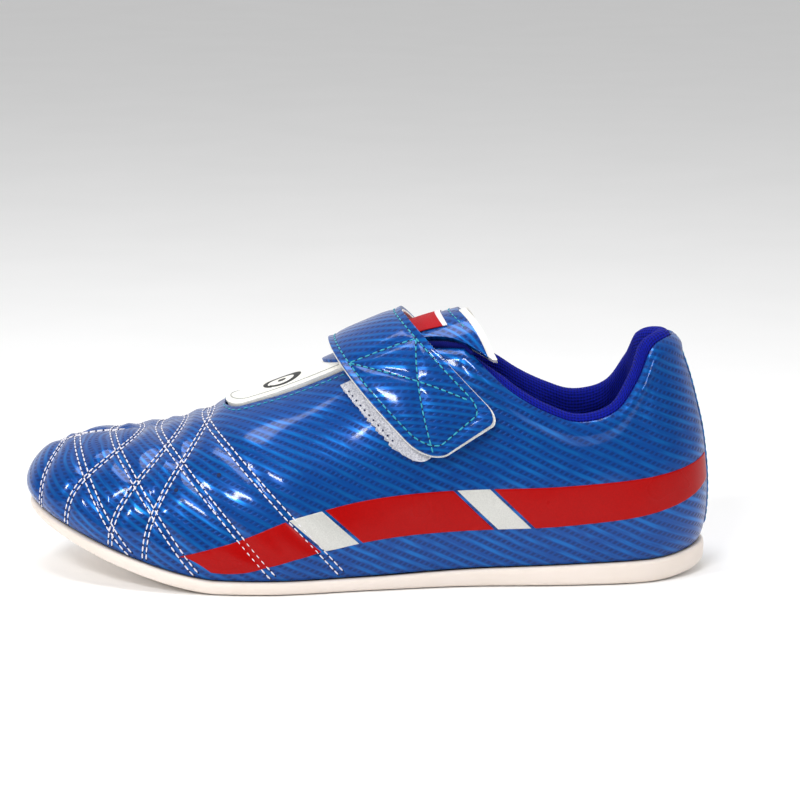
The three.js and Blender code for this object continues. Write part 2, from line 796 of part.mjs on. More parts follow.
// A layer of the strap between two turns; ends(w) gives them, low and high are heights above strapLift.
const STRAP_COLUMNS = 10;
const END_SLANT = radians(10); // the free end is cut square to the strap, so its toe corner hangs lower
function strapLayer(turns, low, high, rows, inset = 0) {
  const columns = steps(STRAP_COLUMNS).map((v) => Math.sin((v - 0.5) * Math.PI) / 2);
  const cells = steps(rows).map((u) =>
    columns.map((w) => {
      const [from, to] = turns(w);
      const turn = lerp(from, to, u);
      return { ...strapAt(turn, w * (1 - inset)), lift: strapLift(turn) };
    }),
  );
  return shell(
    cells,
    (c) => c.lift + low,
    (c) => c.lift + high,
  );
}
const RADIUS = 40; // of the instep across the strap, which turns a gap into an angle
const halfGap = STRAP_GAP / 2 / RADIUS;
const CORNER_SHARE = 0.3;
const CORNER_TURN = radians(9);
const flapTurns = (short) => (w) => [
  RIGHT_ANGLE - FLAP_FOLD + halfGap,
  RIGHT_ANGLE - FLAP_END - short - END_SLANT * w - CORNER_TURN * rounding(w, CORNER_SHARE),
];
const bridgeTurns = () => [-(RIGHT_ANGLE - ANCHOR_FOLD) + halfGap, RIGHT_ANGLE - FLAP_FOLD - halfGap];
const anchorTurns = (w) => [
  -(RIGHT_ANGLE - ANCHOR_END - END_SLANT * w) + CORNER_TURN * rounding(w, CORNER_SHARE),
  -(RIGHT_ANGLE - ANCHOR_FOLD) - halfGap,
];
const BACK_LOW = -(GAP + BACKING);
add("strap_flap_cover", strapLayer(flapTurns(0), 0, PANEL, 9), STRAP_BLUE, 0.18, 0.3);
add("strap_flap_backing", strapLayer(flapTurns(0), BACK_LOW, -GAP, 9), TONGUE_WHITE, 0.7);
add("strap_bridge_cover", strapLayer(bridgeTurns, 0, PANEL, 9), STRAP_BLUE, 0.18, 0.3);
add("strap_bridge_backing", strapLayer(bridgeTurns, BACK_LOW, -GAP, 9), TONGUE_WHITE, 0.7);
add("strap_anchor_cover", strapLayer(anchorTurns, 0, PANEL, 8), STRAP_BLUE, 0.18, 0.3);
add("strap_anchor_backing", strapLayer(anchorTurns, BACK_LOW, -GAP, 8), TONGUE_WHITE, 0.7);

const HOOK_SHORT = radians(4);
const hookTurns = (w) => {
  const [, to] = flapTurns(HOOK_SHORT)(w);
  return [RIGHT_ANGLE - FLAP_FOLD + radians(6), to];
};
add(
  "hook_tape",
  strapLayer(hookTurns, BACK_LOW - GAP - TAPE, BACK_LOW - GAP, 8, 0.16),
  "#d9dadb",
  0.9,
);
const LOOP_TOP_ANGLE = radians(64);
const LOOP_FOOT_ANGLE = radians(27.5);
const LOOP_TOE_EDGE = -0.66; // in shares of the strap's width
const LOOP_HEEL_EDGE = 0.34;
add(
  "loop_tape",
  shell(
    grid(8, 8, (u, v) => {
      const w = lerp(LOOP_TOE_EDGE, LOOP_HEEL_EDGE, v);
      const end = LOOP_FOOT_ANGLE + END_SLANT * w + CORNER_TURN * rounding(v - 0.5, CORNER_SHARE);
      return strapAt(RIGHT_ANGLE - lerp(LOOP_TOP_ANGLE, end, u), w);
    }),
    LOOP_FOOT,
    LOOP_TOP,
  ),
  "#c9c9cc",
  0.95,
);

// ---------------------------------------------------------------- tongue
const TONGUE_START = THROAT_FRONT + 0.03;
const TONGUE_END = 7.06;
const TONGUE_FLARE = 0.28; // in stations: the corners of the top edge lie further back than its middle
const TONGUE_ROWS = 15;
const TONGUE_COLUMNS = 10;
const tongueHalf = through([
  [SEAM_TOP, THROAT_HALF - THROAT_CLEARANCE],
  [6.2, THROAT_HALF - THROAT_CLEARANCE],
  [6.8, THROAT_HALF + 1.4],
  [7.3, TONGUE_TOP_HALF],
]);

// The cell at station k and a distance from the ridge, and how far across the tongue that is.
function tongueAt(k, distance) {
  const point = cell(distance <= 0 ? k : across(k), angleFromRidge(k, distance));
  return { ...point, share: distance / tongueHalf(k) };
}
// A cell of the tongue: v runs across it, u from its front end, which is rounded like the slot's.
function tongueCell(u, v, start, end, narrow) {
  const side = 2 * v - 1;
  const nose = (SEAM_TOP - THROAT_FRONT) * (1 - Math.sqrt(1 - side * side));
  const k = lerp(start + nose, end + TONGUE_FLARE * side ** 2, u);
  return tongueAt(k, side * (tongueHalf(k) - narrow));
}
const crown = (c) => 0.7 * (1 - c.share ** 2);
const SHELL_LOW = 0.2;
const SHELL_HIGH = SHELL_LOW + SHELL;
const tongueSheet = (rows, start, end, low, high, narrow) =>
  shell(
    grid(rows, TONGUE_COLUMNS, (u, v) => tongueCell(u, v, start, end, narrow)),
    (c) => low + crown(c),
    (c) => high + crown(c),
  );
add("tongue_shell", tongueSheet(TONGUE_ROWS, TONGUE_START, TONGUE_END, SHELL_LOW, SHELL_HIGH, 0), TONGUE_WHITE, 0.6);
const FOAM_HIGH = SHELL_LOW - FILM_GAP - 0.15;
const FOAM_LOW = FOAM_HIGH - TONGUE_FOAM;
add(
  "tongue_foam",
  tongueSheet(TONGUE_ROWS, TONGUE_START + 0.1, TONGUE_END - 0.03, FOAM_LOW, FOAM_HIGH, 1.2),
  "#f2e7b8",
  0.9,
);
add(
  "tongue_lining",
  tongueSheet(TONGUE_ROWS, TONGUE_START + 0.1, TONGUE_END, FOAM_LOW - FILM_GAP - LINING * 0.7, FOAM_LOW - FILM_GAP, 0.6),
  "#f4f4f2",
  0.9,
);
const COVER_START = 5.58;
const COVER_LOW = SHELL_HIGH + FILM_GAP;
const COVER_HIGH = COVER_LOW + 1;
const coverHalf = through([
  [COVER_START, 5],
  [5.9, 11],
  [6.3, 12.4],
  [7.3, 13],
]);
add(
  "tongue_cover",
  shell(
    grid(12, TONGUE_COLUMNS, (u, v) => {
      const side = 2 * v - 1;
      const nose = 0.16 * (1 - Math.sqrt(1 - side * side));
      const k = lerp(COVER_START + nose, TONGUE_END - 0.03 + TONGUE_FLARE * side ** 2, u);
      return tongueAt(k, side * (k > 6.3 ? tongueHalf(k) - 0.8 : coverHalf(k)));
    }),
    (c) => COVER_LOW + crown(c),
    (c) => COVER_HIGH + crown(c),
  ),
  STRAP_BLUE,
  0.2,
  0.3,
);
const LABEL_FRONT = 6.5;
const LABEL_REAR = 6.92;
const LABEL_HALF = 12;
add(
  "tongue_label",
  shell(
    grid(3, 8, (u, v) => {
      const side = 2 * v - 1;
      return tongueAt(lerp(LABEL_FRONT, LABEL_REAR, u) + 0.06 * side ** 2, side * LABEL_HALF);
    }),
    (c) => COVER_HIGH + FILM_GAP + crown(c),
    (c) => COVER_HIGH + FILM_GAP + LABEL + crown(c),
  ),
  BAND_RED,
  0.8,
);

// ---------------------------------------------------------------- joint axes
// A fold's axis runs through the two edges of the strap's face, a little proud of it.
function foldAxis(turn) {
  const [toe, heel] = [-0.5, 0.5].map((w) => {
    const { point, normal } = strapAt(turn, w);
    return point.addScaledVector(normal, strapLift(turn) + PANEL + FOLD_RISE);
  });
  return { position: toe.clone().add(heel).divideScalar(2), axis: heel.sub(toe).normalize() };
}
const hinge = cell(TONGUE_START, RIGHT_ANGLE);
group.userData.joints = {
  strap_peel: foldAxis(RIGHT_ANGLE - FLAP_FOLD),
  strap_fold: foldAxis(-(RIGHT_ANGLE - ANCHOR_FOLD)),
  tongue_pull: {
    position: hinge.point.addScaledVector(hinge.normal, SHELL_LOW),
    axis: new THREE.Vector3(0, 1, 0),
  },
};

export default group;
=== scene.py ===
"""A low-cut martial arts training shoe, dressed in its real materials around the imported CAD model.

Lengths in this file are millimetres until a mesh is made; meshes are in metres, in the CAD's frame:
+Z up, the toe along -X, the outer side of the left shoe facing -Y.
"""

import math

import bmesh
import bpy
import numpy as np
from mathutils import Matrix, Vector, noise
from mathutils.kdtree import KDTree


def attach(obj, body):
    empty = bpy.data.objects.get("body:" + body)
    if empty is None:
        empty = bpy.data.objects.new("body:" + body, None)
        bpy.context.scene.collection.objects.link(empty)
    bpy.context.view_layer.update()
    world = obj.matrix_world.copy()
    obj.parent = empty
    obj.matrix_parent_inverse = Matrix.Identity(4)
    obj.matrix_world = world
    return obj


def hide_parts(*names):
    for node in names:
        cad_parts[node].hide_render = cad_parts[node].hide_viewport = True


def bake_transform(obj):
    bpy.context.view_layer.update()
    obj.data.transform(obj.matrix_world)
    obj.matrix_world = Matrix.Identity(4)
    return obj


bl_info = {
    "name": "Martial Arts Shoe",
    "version": (1, 0, 0),
    "blender": (4, 5, 0),
    "location": "3D View > Sidebar > Shoe",
    "description": "Builds the soft pieces, stitching and finishes of a training shoe",
    "category": "Add Mesh",
}

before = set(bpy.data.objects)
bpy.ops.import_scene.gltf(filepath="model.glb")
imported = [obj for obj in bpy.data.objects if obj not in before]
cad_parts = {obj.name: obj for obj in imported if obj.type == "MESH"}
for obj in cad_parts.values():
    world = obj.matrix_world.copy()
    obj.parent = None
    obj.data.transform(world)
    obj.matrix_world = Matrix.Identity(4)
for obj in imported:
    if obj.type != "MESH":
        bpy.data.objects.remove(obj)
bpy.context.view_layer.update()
MM = 0.001
radians = math.radians
HALVINGS = 36


# ---------------------------------------------------------------- curves
def lerp(a, b, t):
    return a + (b - a) * t


def smooth_step(t):
    t = np.clip(t, 0, 1)
    return t * t * (3 - 2 * t)


def through(points):
    """A smooth curve through (x, value) points, held level past its ends."""
    xs, vs = np.array(points, float).T
    ends_x, ends_v = np.pad(xs, 1, "edge"), np.pad(vs, 1, "edge")
    slope = (ends_v[2:] - ends_v[:-2]) / (ends_x[2:] - ends_x[:-2])

    def value(x):
        at = np.clip(x, xs[0], xs[-1])
        i = np.clip(np.searchsorted(xs, at) - 1, 0, len(xs) - 2)
        width = xs[i + 1] - xs[i]
        t = (at - xs[i]) / width
        u = 1 - t
        ends = vs[i] * (1 + 2 * t) * u * u + vs[i + 1] * (1 + 2 * u) * t * t
        return ends + width * t * u * (slope[i] * u - slope[i + 1] * t)

    return value


def catmull_rom(a, b, c, d, t):
    """The curve from b to c at a share t of the way, with a before it and d after it."""
    square, cube = (2 * a - 5 * b + 4 * c - d) * t**2, (3 * b - a - 3 * c + d) * t**3
    return 0.5 * (2 * b + (c - a) * t + square + cube)


def rounded(points, count):
    """An open Catmull-Rom curve through points, as count points evenly spread along it."""
    p = np.array(points, float)
    p = np.vstack([2 * p[0] - p[1], p, 2 * p[-1] - p[-2]])
    t = np.linspace(0, len(points) - 1 - 1e-9, 400)
    i, f = t.astype(int), (t % 1)[:, None]
    return spread(catmull_rom(p[i], p[i + 1], p[i + 2], p[i + 3], f), count)


def travelled(points):
    """The distance along a line of points, from 0 at its start."""
    return np.concatenate([[0], np.cumsum(np.linalg.norm(np.diff(points, axis=0), axis=1))])


def climbed(points):
    """The distance up each column of a grid of points, from 0 at its foot."""
    steps = np.linalg.norm(np.diff(points, axis=1), axis=2)
    return np.concatenate([np.zeros((len(points), 1)), np.cumsum(steps, 1)], 1)


def at_distance(s, far, line):
    """The line's value at the distances s along it."""
    return np.stack([np.interp(s, far, axis) for axis in line.T], -1)


def spread(points, count):
    """The same line with count points evenly spread along it."""
    far = travelled(points)
    return at_distance(np.linspace(0, far[-1], count), far, points)


def crossed(a, b):
    """Two grids that pair every value of a with every value of b."""
    return np.meshgrid(a, b, indexing="ij")


def solve(target, value, low, high):
    """The k between low and high where the rising value(k) reaches target."""
    low, high = np.full_like(target, low), np.full_like(target, high)
    for _ in range(HALVINGS):
        middle = (low + high) / 2
        under = value(middle) < target
        low, high = np.where(under, middle, low), np.where(under, high, middle)
    return (low + high) / 2


def unit(v):
    return v / np.maximum(np.linalg.norm(v, axis=-1, keepdims=True), 1e-12)


# ---------------------------------------------------------------- the last the shoe is made on
# Stations k run from the toe tip (0) to the back of the heel (11), positive on the outer side and
# negative on the inner side. Angles run from the sole (0) to the ridge (90 degrees).
LENGTH, BALL, INSTEP = 274, 96, 97
GAP = 0.3
HEEL = 11
STATIONS = [
    (-0.5, 0.06, 0.06, -0.362),
    (-0.486, -0.09, 0.2, -0.357),
    (-0.446, -0.235, 0.325, -0.344),
    (-0.37, -0.375, 0.425, -0.318),
    (-0.262, -0.475, 0.48, -0.25),
    (-0.139, -0.505, 0.455, -0.139),
    (-0.008, -0.435, 0.355, -0.008),
    (0.138, -0.365, 0.295, 0.138),
    (0.284, -0.35, 0.308, 0.27),
    (0.402, -0.302, 0.289, 0.345),
    (0.469, -0.17, 0.162, 0.374),
    (0.492, 0, 0, 0.384),
]
OUTER = [(x * LENGTH, y * BALL, ridge * LENGTH) for x, y, _, ridge in STATIONS]
INNER = [(x * LENGTH, y * BALL, ridge * LENGTH) for x, _, y, ridge in STATIONS[1:HEEL]]
FOOTPRINT = np.array(OUTER + INNER[::-1])


def around(k):
    """x, y and ridge x of the footprint at stations k."""
    k = np.asarray(k, float)
    base = np.floor(k).astype(int)
    t = (k - base)[..., None]
    return catmull_rom(*(FOOTPRINT[(base + step) % len(FOOTPRINT)] for step in (-1, 0, 1, 2)), t)


def along(points, scale=1):
    curve = through(points)
    return lambda x: curve(np.asarray(x) / LENGTH) * scale


ridge_height = along(
    [(-0.37, 0.565), (-0.31, 0.592), (-0.245, 0.652), (-0.2, 0.705), (-0.125, 0.778), (-0.06, 0.853)]
    + [(0, 0.928), (0.07, 1.01), (0.146, 1.075), (0.22, 1.135), (0.31, 1.2), (0.4, 1.22)],
    INSTEP,
)
ridge_offset = along([(-0.37, 6), (-0.2, 4), (0, 3), (0.15, 2), (0.39, 0)])
squareness = along(
    [(-0.37, 0.78), (-0.25, 0.92), (-0.1, 0.93), (0.05, 0.86), (0.2, 0.92), (0.39, 1.06)]
)
swell = along([(-0.37, 4), (-0.25, 2.4), (0, 2.6), (0.2, 3.2), (0.39, 4.6)])
rim_height = along(
    [(-0.51, 4.4), (-0.38, 5.6), (-0.15, 5.2), (0, 5.4), (0.18, 7.2), (0.36, 8.8), (0.5, 9.2)]
)


def sole_bottom(x):
    toe = np.clip((-0.22 * LENGTH - x) / (0.29 * LENGTH), 0, 1)
    heel = np.clip((x - 0.41 * LENGTH) / (0.1 * LENGTH), 0, 1)
    return 25 * toe**1.5 + 4 * heel**2


def rim_top(x):
    return sole_bottom(x) + rim_height(x)


def last(k, angle):
    """Points of the upper's outside."""
    x, y, ridge_x = np.moveaxis(around(k), -1, 0)
    ridge_y = ridge_offset(ridge_x)
    reach = np.hypot(ridge_x - x, ridge_y - y)
    power = squareness(ridge_x)
    rise = np.maximum(np.sin(angle), 0) ** power
    bulge = swell(ridge_x) * np.sin(np.pi * rise**0.6)
    inward = 1 - np.maximum(np.cos(angle), 0) ** power - bulge / reach
    base = rim_top(x) + GAP
    height = base + (ridge_height(ridge_x) - base) * rise
    return np.stack([x + (ridge_x - x) * inward, y + (ridge_y - y) * inward, height], -1)


def last_normal(k, angle):
    k, angle = np.broadcast_arrays(np.asarray(k, float), np.asarray(angle, float))
    up = last(k, angle + 0.01) - last(k, np.maximum(angle - 0.01, 0.002))
    side = np.cross(last(k + 0.02, angle) - last(k - 0.02, angle), up)
    ridge_x = around(k)[..., 2]
    slope = ridge_height(ridge_x + 0.5) - ridge_height(ridge_x - 0.5)
    drift = ridge_offset(ridge_x + 0.5) - ridge_offset(ridge_x - 0.5)
    top = np.stack([-slope, -slope * drift, 1 + drift**2], -1)
    return unit(np.where((angle > radians(89.5))[..., None], top, side))


def angle_from_ridge(k, distance):
    x, y, ridge_x = np.moveaxis(around(k), -1, 0)
    reach = np.hypot(ridge_x - x, ridge_offset(ridge_x) - y)
    return np.arccos(np.clip(np.abs(distance) / reach, 0, 1) ** (1 / squareness(ridge_x)))


def angle_at_height(k, z):
    x, _, ridge_x = np.moveaxis(around(k), -1, 0)
    base = rim_top(x) + GAP
    rise = np.clip((z - base) / (ridge_height(ridge_x) - base), 0, 1)
    return np.arcsin(rise ** (1 / squareness(ridge_x)))


def fold(k):
    """The outer station level with k, on either side."""
    return HEEL - np.abs(HEEL - np.abs(k))


# ---------------------------------------------------------------- edges of the panels
PANEL, STIFFENER, LINING = 1.4, 0.9, 1.2
THROAT_HALF, THROAT_FRONT, SEAM_TOP, CORNER = 14, 4.36, 4.62, 7
COLLAR_SIDE, COLLAR_BACK = 66.5, 96
collar_height = through(
    [
        (CORNER, COLLAR_BACK - 1),
        (7.5, COLLAR_SIDE + 10.5),
        (8, COLLAR_SIDE + 1),
        (8.3, COLLAR_SIDE),
        (8.65, COLLAR_SIDE + 4),
        (9.0, COLLAR_BACK - 15),
        (9.4, COLLAR_BACK - 4),
        (9.9, COLLAR_BACK),
        (HEEL, COLLAR_BACK + 1),
    ]
)
slot_half = through([(SEAM_TOP, THROAT_HALF), (6.2, THROAT_HALF), (CORNER, THROAT_HALF + 4.5)])


def top_angle(k):
    """Angle of the upper's top edge: the ridge, then round the throat's front end, then along the collar."""
    near = fold(k)
    front = np.clip((near - THROAT_FRONT) / (SEAM_TOP - THROAT_FRONT), 0, 1)
    half = np.where(near < SEAM_TOP, THROAT_HALF * np.sqrt(1 - (1 - front) ** 2), slot_half(near))
    throat = np.where(near <= THROAT_FRONT, np.pi / 2, angle_from_ridge(k, half))
    return np.where(near < CORNER, throat, angle_at_height(k, collar_height(near)))


# ---------------------------------------------------------------- quilting of the toe
# Each line of stitching: its x at the ridge, its x at the sole, how it bows on the way, and the distance
# between its two rows.
QUILT_LINES = [
    (-121, -91, 0.62, 2.4),
    (-105, -66, 0.85, 2.4),
    (-86, -36, 1.0, 2.4),
    (-67, -9, 1.0, 2.4),
    (-120.5, -133, 2.6, 1.7),
    (-93, -121.5, 2.5, 1.7),
    (-75, -103, 2.2, 1.7),
    (-64, -89, 2.2, 1.7),
]


def tree_of(points):
    tree = KDTree(len(points))
    for i, p in enumerate(points):
        tree.insert(p, i)
    tree.balance()
    return tree


def distances(tree, points):
    flat = points.reshape(-1, 3)
    return np.array([tree.find(p)[2] for p in flat]).reshape(points.shape[:-1])


def quilt_path(ridge_x, sole_x, bow, gap, side):
    """Stations and angles of a quilting line, from the sole to the ridge, and its row gap."""
    angle = np.linspace(radians(1.2), radians(89.6), 160)
    rise = np.sin(angle) ** 0.88
    target = lerp(sole_x, ridge_x, rise**bow)
    k = solve(target, lambda at: last(side * at, angle)[..., 0], 0.0, 8.0)
    return side * k, angle, gap


QUILT_PATHS = [quilt_path(*line, side) for line in QUILT_LINES for side in (1, -1)]
QUILT_TREE = tree_of(np.vstack([spread(last(k, angle), 260) for k, angle, _ in QUILT_PATHS]))


def relief(points, foot):
    """How far the padded upper stands off the last: sunk at the quilting, full between its lines."""
    d = distances(QUILT_TREE, points)
    settings = bpy.context.scene.shoe_upper
    puff = (1 - np.exp(-((d / 4.6) ** 2))) * np.exp(-((d / 17) ** 2))
    raised = settings.puff * 1000 * puff - settings.groove * 1000 * np.exp(-((d / 1.9) ** 2))
    wave = np.array([noise.noise(Vector(p) / 17) for p in points.reshape(-1, 3)]).reshape(d.shape)
    return (raised + 0.3 * wave) * smooth_step((foot - 0.5) / 9)


def skin(k, angle, lift=0.0):
    """Points and normals of the finished upper's face, lifted off it."""
    point, normal = last(k, angle), last_normal(k, angle)
    foot = point[..., 2] - rim_top(around(k)[..., 0])
    return point + normal * (relief(point, foot) + lift)[..., None], normal


# ---------------------------------------------------------------- mesh making
def finished(bm, name, materials):
    """The piece made from bm, shaded smooth, with its materials."""
    for face in bm.faces:
        face.smooth = True
    mesh = bpy.data.meshes.new(name)
    bm.to_mesh(mesh)
    bm.free()
    piece = bpy.data.objects.new(name, mesh)
    bpy.context.scene.collection.objects.link(piece)
    for material in materials if isinstance(materials, list) else [materials]:
        mesh.materials.append(material)
    return piece


def bent_grid(points, uv=None, bm=None):
    """A bmesh grid bent through points[column, row], with its true lengths in mm as its UV map.
    It faces the side from which its columns run right and its rows run up."""
    columns, rows = points.shape[0] - 1, points.shape[1] - 1
    if uv is None:
        middle = travelled(points[:, rows // 2])
        uv = np.stack([np.repeat(middle[:, None], rows + 1, 1), climbed(points)], -1)
    bm = bm or bmesh.new()
    made = bmesh.ops.create_grid(bm, x_segments=columns, y_segments=rows, size=0.5)["verts"]
    layer = bm.loops.layers.uv.verify()
    place = {}
    for vert in made:
        i, j = round((vert.co.x + 0.5) * columns), round((vert.co.y + 0.5) * rows)
        place[vert] = uv[i, j]
        vert.co = points[i, j] * MM
    for face in {f for vert in made for f in vert.link_faces}:
        for loop in face.loops:
            loop[layer].uv = place[loop.vert]
    bmesh.ops.remove_doubles(bm, verts=made, dist=1e-5)
    return bm


def thicken(piece, thickness, bevel=0.0, segments=3, back=0):
    """Gives a sheet its thickness, inward, and rounds its edges. back is its inner face's material."""
    solid = piece.modifiers.new("Thickness", "SOLIDIFY")
    solid.thickness, solid.offset = thickness * MM, -1
    solid.material_offset = back
    if bevel:
        edge = piece.modifiers.new("Edge", "BEVEL")
        edge.width, edge.segments, edge.limit_method = bevel * MM, segments, "ANGLE"
        edge.angle_limit = radians(50)
    return piece


def sheet(name, points, material, thickness, bevel=0.0, **options):
    return thicken(finished(bent_grid(points), name, material), thickness, bevel, **options)


def bead():
    """A slim closed bead along Z, one unit from its middle to each tip, that every stitch is a copy of."""
    bm = bmesh.new()
    bmesh.ops.create_uvsphere(bm, u_segments=6, v_segments=5, radius=1)
    mesh = bpy.data.meshes.new("bead")
    bm.to_mesh(mesh)
    bm.free()
    return mesh


THREAD_FLATNESS = 0.42  # half a stitch's height as a share of its width


def thread(bm, points, normals, pitch, length, width, sink=0.0, phase=0.5):
    """Sews a row of stitches into bm along a line: each is a slim bead that dips into its two holes."""
    stitch = bead()
    far = travelled(points)
    count = max(int(far[-1] / pitch), 1)
    for centre in (np.arange(count) + phase) * far[-1] / count:
        behind, middle, ahead = (at_distance(centre + step, far, points) for step in (-0.6, 0, 0.6))
        run = Vector(unit(ahead - behind))
        up = Vector(unit(at_distance(centre, far, normals)))
        side = run.cross(up).normalized()
        up = side.cross(run)
        turn = Matrix((side * width / 2, up * width * THREAD_FLATNESS, run * length / 2)).transposed().to_4x4()
        place = Matrix.Scale(MM, 4) @ Matrix.Translation(Vector(middle) - up * sink) @ turn
        stitch.transform(place)
        bm.from_mesh(stitch)
        stitch.transform(place.inverted())
    bpy.data.meshes.remove(stitch)


def offset_line(points, normals, distance):
    """The line moved sideways along its surface."""
    return points + np.cross(unit(np.gradient(points, axis=0)), normals) * distance


def shown(piece, body, slot, *nodes):
    """Rides the piece on a body and hides the CAD nodes it stands for. The slot is not used."""
    if body:
        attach(piece, body)
    if nodes:
        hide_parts(*nodes)
    return piece


def sewn(bm, name, material, body="shoe"):
    """A piece that stands for no CAD node, such as a row of stitches, made from bm and riding a body."""
    return shown(finished(bm, name, finish(material)), body, None)


# ---------------------------------------------------------------- materials
def tone(colour):
    """Linear red, green, blue from an sRGB hex."""
    parts = [int(colour[i : i + 2], 16) / 255 for i in (1, 3, 5)]
    return tuple(c / 12.92 if c <= 0.04045 else ((c + 0.055) / 1.055) ** 2.4 for c in parts)


def add(tree, kind, inputs=None, **settings):
    """One node with its settings; each input is a value or another node's output."""
    made = tree.nodes.new(kind)
    for name, value in settings.items():
        setattr(made, name, value)
    for name, value in (inputs or {}).items():
        if isinstance(value, bpy.types.NodeSocket):
            tree.links.new(value, made.inputs[name])
        else:
            made.inputs[name].default_value = value
    return made


def finish_of(name, **constants):
    """A new material with its shader, whose constants are set on its own sockets."""
    material = bpy.data.materials.new(name)
    material.use_nodes = True
    tree = material.node_tree
    tree.nodes.clear()
    shader = add(tree, "ShaderNodeBsdfPrincipled")
    add(tree, "ShaderNodeOutputMaterial", {"Surface": shader.outputs[0]})
    for socket, value in constants.items():
        shader.inputs[socket.replace("_", " ")].default_value = value
    return material, tree, shader


def opaque(colour):
    return (*(tone(colour) if isinstance(colour, str) else tuple(colour)), 1)


BLACK = (0, 0, 0, 1)


def drive(tree, shader, **sockets):
    """Links each output to the shader's socket of that name."""
    for socket, value in sockets.items():
        tree.links.new(value, shader.inputs[socket.replace("_", " ")])


def blend_colours(tree, share, first, second):
    mix = add(tree, "ShaderNodeMix", data_type="RGBA")
    for index, value in ((0, share), (6, first), (7, second)):
        if isinstance(value, bpy.types.NodeSocket):
            tree.links.new(value, mix.inputs[index])
        else:
            mix.inputs[index].default_value = value
    return mix.outputs[2]


def level(tree, value, low, high, out_low, out_high):
    """value taken from one range to another, and held there."""
    names = ("Value", "From Min", "From Max", "To Min", "To Max")
    return add(tree, "ShaderNodeMapRange", dict(zip(names, (value, low, high, out_low, out_high)))).outputs[0]


def pattern_uv(tree, turn=0.0):
    """The piece's own UV map, which is in millimetres, turned about its origin."""
    inputs = {"Vector": add(tree, "ShaderNodeTexCoord").outputs["UV"], "Rotation": (0, 0, radians(turn))}
    return add(tree, "ShaderNodeMapping", inputs, vector_type="TEXTURE").outputs[0]


def object_mm(tree):
    """The piece's place in the shoe, in millimetres."""
    here = add(tree, "ShaderNodeTexCoord").outputs["Object"]
    return add(tree, "ShaderNodeMapping", {"Vector": here, "Scale": (1000, 1000, 1000)}).outputs[0]


def bumped(tree, shader, height, distance, strength=1.0):
    inputs = {"Height": height, "Distance": distance * MM, "Strength": strength}
    drive(tree, shader, Normal=add(tree, "ShaderNodeBump", inputs).outputs[0])


def noise_of(tree, vector, size, detail=2.0):
    """Noise whose blobs are about size millimetres across."""
    return add(tree, "ShaderNodeTexNoise", {"Vector": vector, "Scale": 1 / size, "Detail": detail}).outputs[0]


BAND_REPEAT = 0.314  # how far apart a wave texture's bands are at a scale of 1


def wave(tree, vector, scale, direction, **inputs):
    """Wave bands BAND_REPEAT / scale millimetres apart."""
    inputs = {name.replace("_", " "): value for name, value in inputs.items()}
    inputs |= {"Vector": vector, "Scale": scale}
    return add(tree, "ShaderNodeTexWave", inputs, bands_direction=direction).outputs[1]


def product(tree, first, second):
    return add(tree, "ShaderNodeMath", {0: first, 1: second}, operation="MULTIPLY").outputs[0]


def voronoi(tree, vector, size, feature, **inputs):
    """Distances in cells about size millimetres across."""
    inputs |= {"Vector": vector, "Scale": 1 / size}
    return add(tree, "ShaderNodeTexVoronoi", inputs, feature=feature).outputs["Distance"]


LEATHER_ROW, LEATHER_CELL, LEATHER_SLANT = 3.5, 1.9, radians(28)


def coated_leather(name, base, deep, painted_glint, row_turn):
    """Split leather with a pearl polyurethane film embossed in a twill: rows 3.5 mm apart of dark oval cells
    1.9 mm apart, under a clear gloss. Bright slanted streaks between the rows are painted highlights: a lighter
    colour mixed in along noise streaks between the rows."""
    material, tree, shader = finish_of(
        name, IOR=1.5, Specular_IOR_Level=0.1, Coat_Weight=0.42, Coat_Roughness=0.09, Coat_IOR=1.5
    )
    uv = pattern_uv(tree, row_turn)
    rows = wave(tree, uv, BAND_REPEAT / LEATHER_ROW, "Y", Distortion=1.5, Detail=1.0, Detail_Scale=0.5)
    slanted = add(tree, "ShaderNodeMapping", {"Vector": uv, "Rotation": (0, 0, LEATHER_SLANT)}).outputs[0]
    columns = wave(tree, slanted, BAND_REPEAT / LEATHER_CELL, "X", Distortion=0.7, Detail=1.0, Detail_Scale=0.8)
    cells = product(tree, level(tree, rows, 0.45, 0.85, 0, 1), level(tree, columns, 0.15, 0.6, 0, 1))
    stretched = add(tree, "ShaderNodeMapping", {"Vector": uv, "Scale": (0.2, 1, 1)}).outputs[0]
    streaks = noise_of(tree, stretched, 2.6, 3)
    broad = noise_of(tree, object_mm(tree), 26, 2)
    # Painted highlight: noise streaks between the rows lift the colour towards the bright highlight colour.
    painted_glint_strands = product(tree, level(tree, rows, 0.5, 0.1, 0, 1), level(tree, streaks, 0.4, 0.62, 0.1, 1))
    colour = blend_colours(tree, level(tree, painted_glint_strands, 0, 1, 0, 0.75), base, painted_glint)
    colour = blend_colours(tree, level(tree, cells, 0, 1, 0, 0.9), colour, deep)
    colour = blend_colours(tree, level(tree, broad, 0.3, 0.7, 0.0, 0.3), colour, base)
    shine = level(tree, painted_glint_strands, 0, 1, 0.2, 0.6)
    drive(tree, shader, Base_Color=colour, Metallic=shine, Roughness=level(tree, cells, 0, 1, 0.3, 0.42))
    height = add(tree, "ShaderNodeMath", {0: cells, 1: -0.8, 2: streaks}, operation="MULTIPLY_ADD").outputs[0]
    bumped(tree, shader, height, 0.14, 0.6)
    return material


def film(name, colour, metallic, roughness, grain):
    """Heat-pressed polyurethane transfer film: even, slightly glossy, with the faint orange peel of the press."""
    material, tree, shader = finish_of(
        name, Metallic=metallic, Specular_IOR_Level=0.12, Coat_Weight=0.08, Coat_Roughness=0.25
    )
    here = object_mm(tree)
    fine, wide = noise_of(tree, here, grain, 3), noise_of(tree, here, 22, 1)
    shaded = blend_colours(tree, level(tree, fine, 0.3, 0.7, 0, 0.16), colour, BLACK)
    worn = level(tree, wide, 0.3, 0.7, roughness - 0.05, roughness + 0.07)
    drive(tree, shader, Base_Color=shaded, Roughness=worn)
    bumped(tree, shader, fine, 0.06, 0.5)
    return material


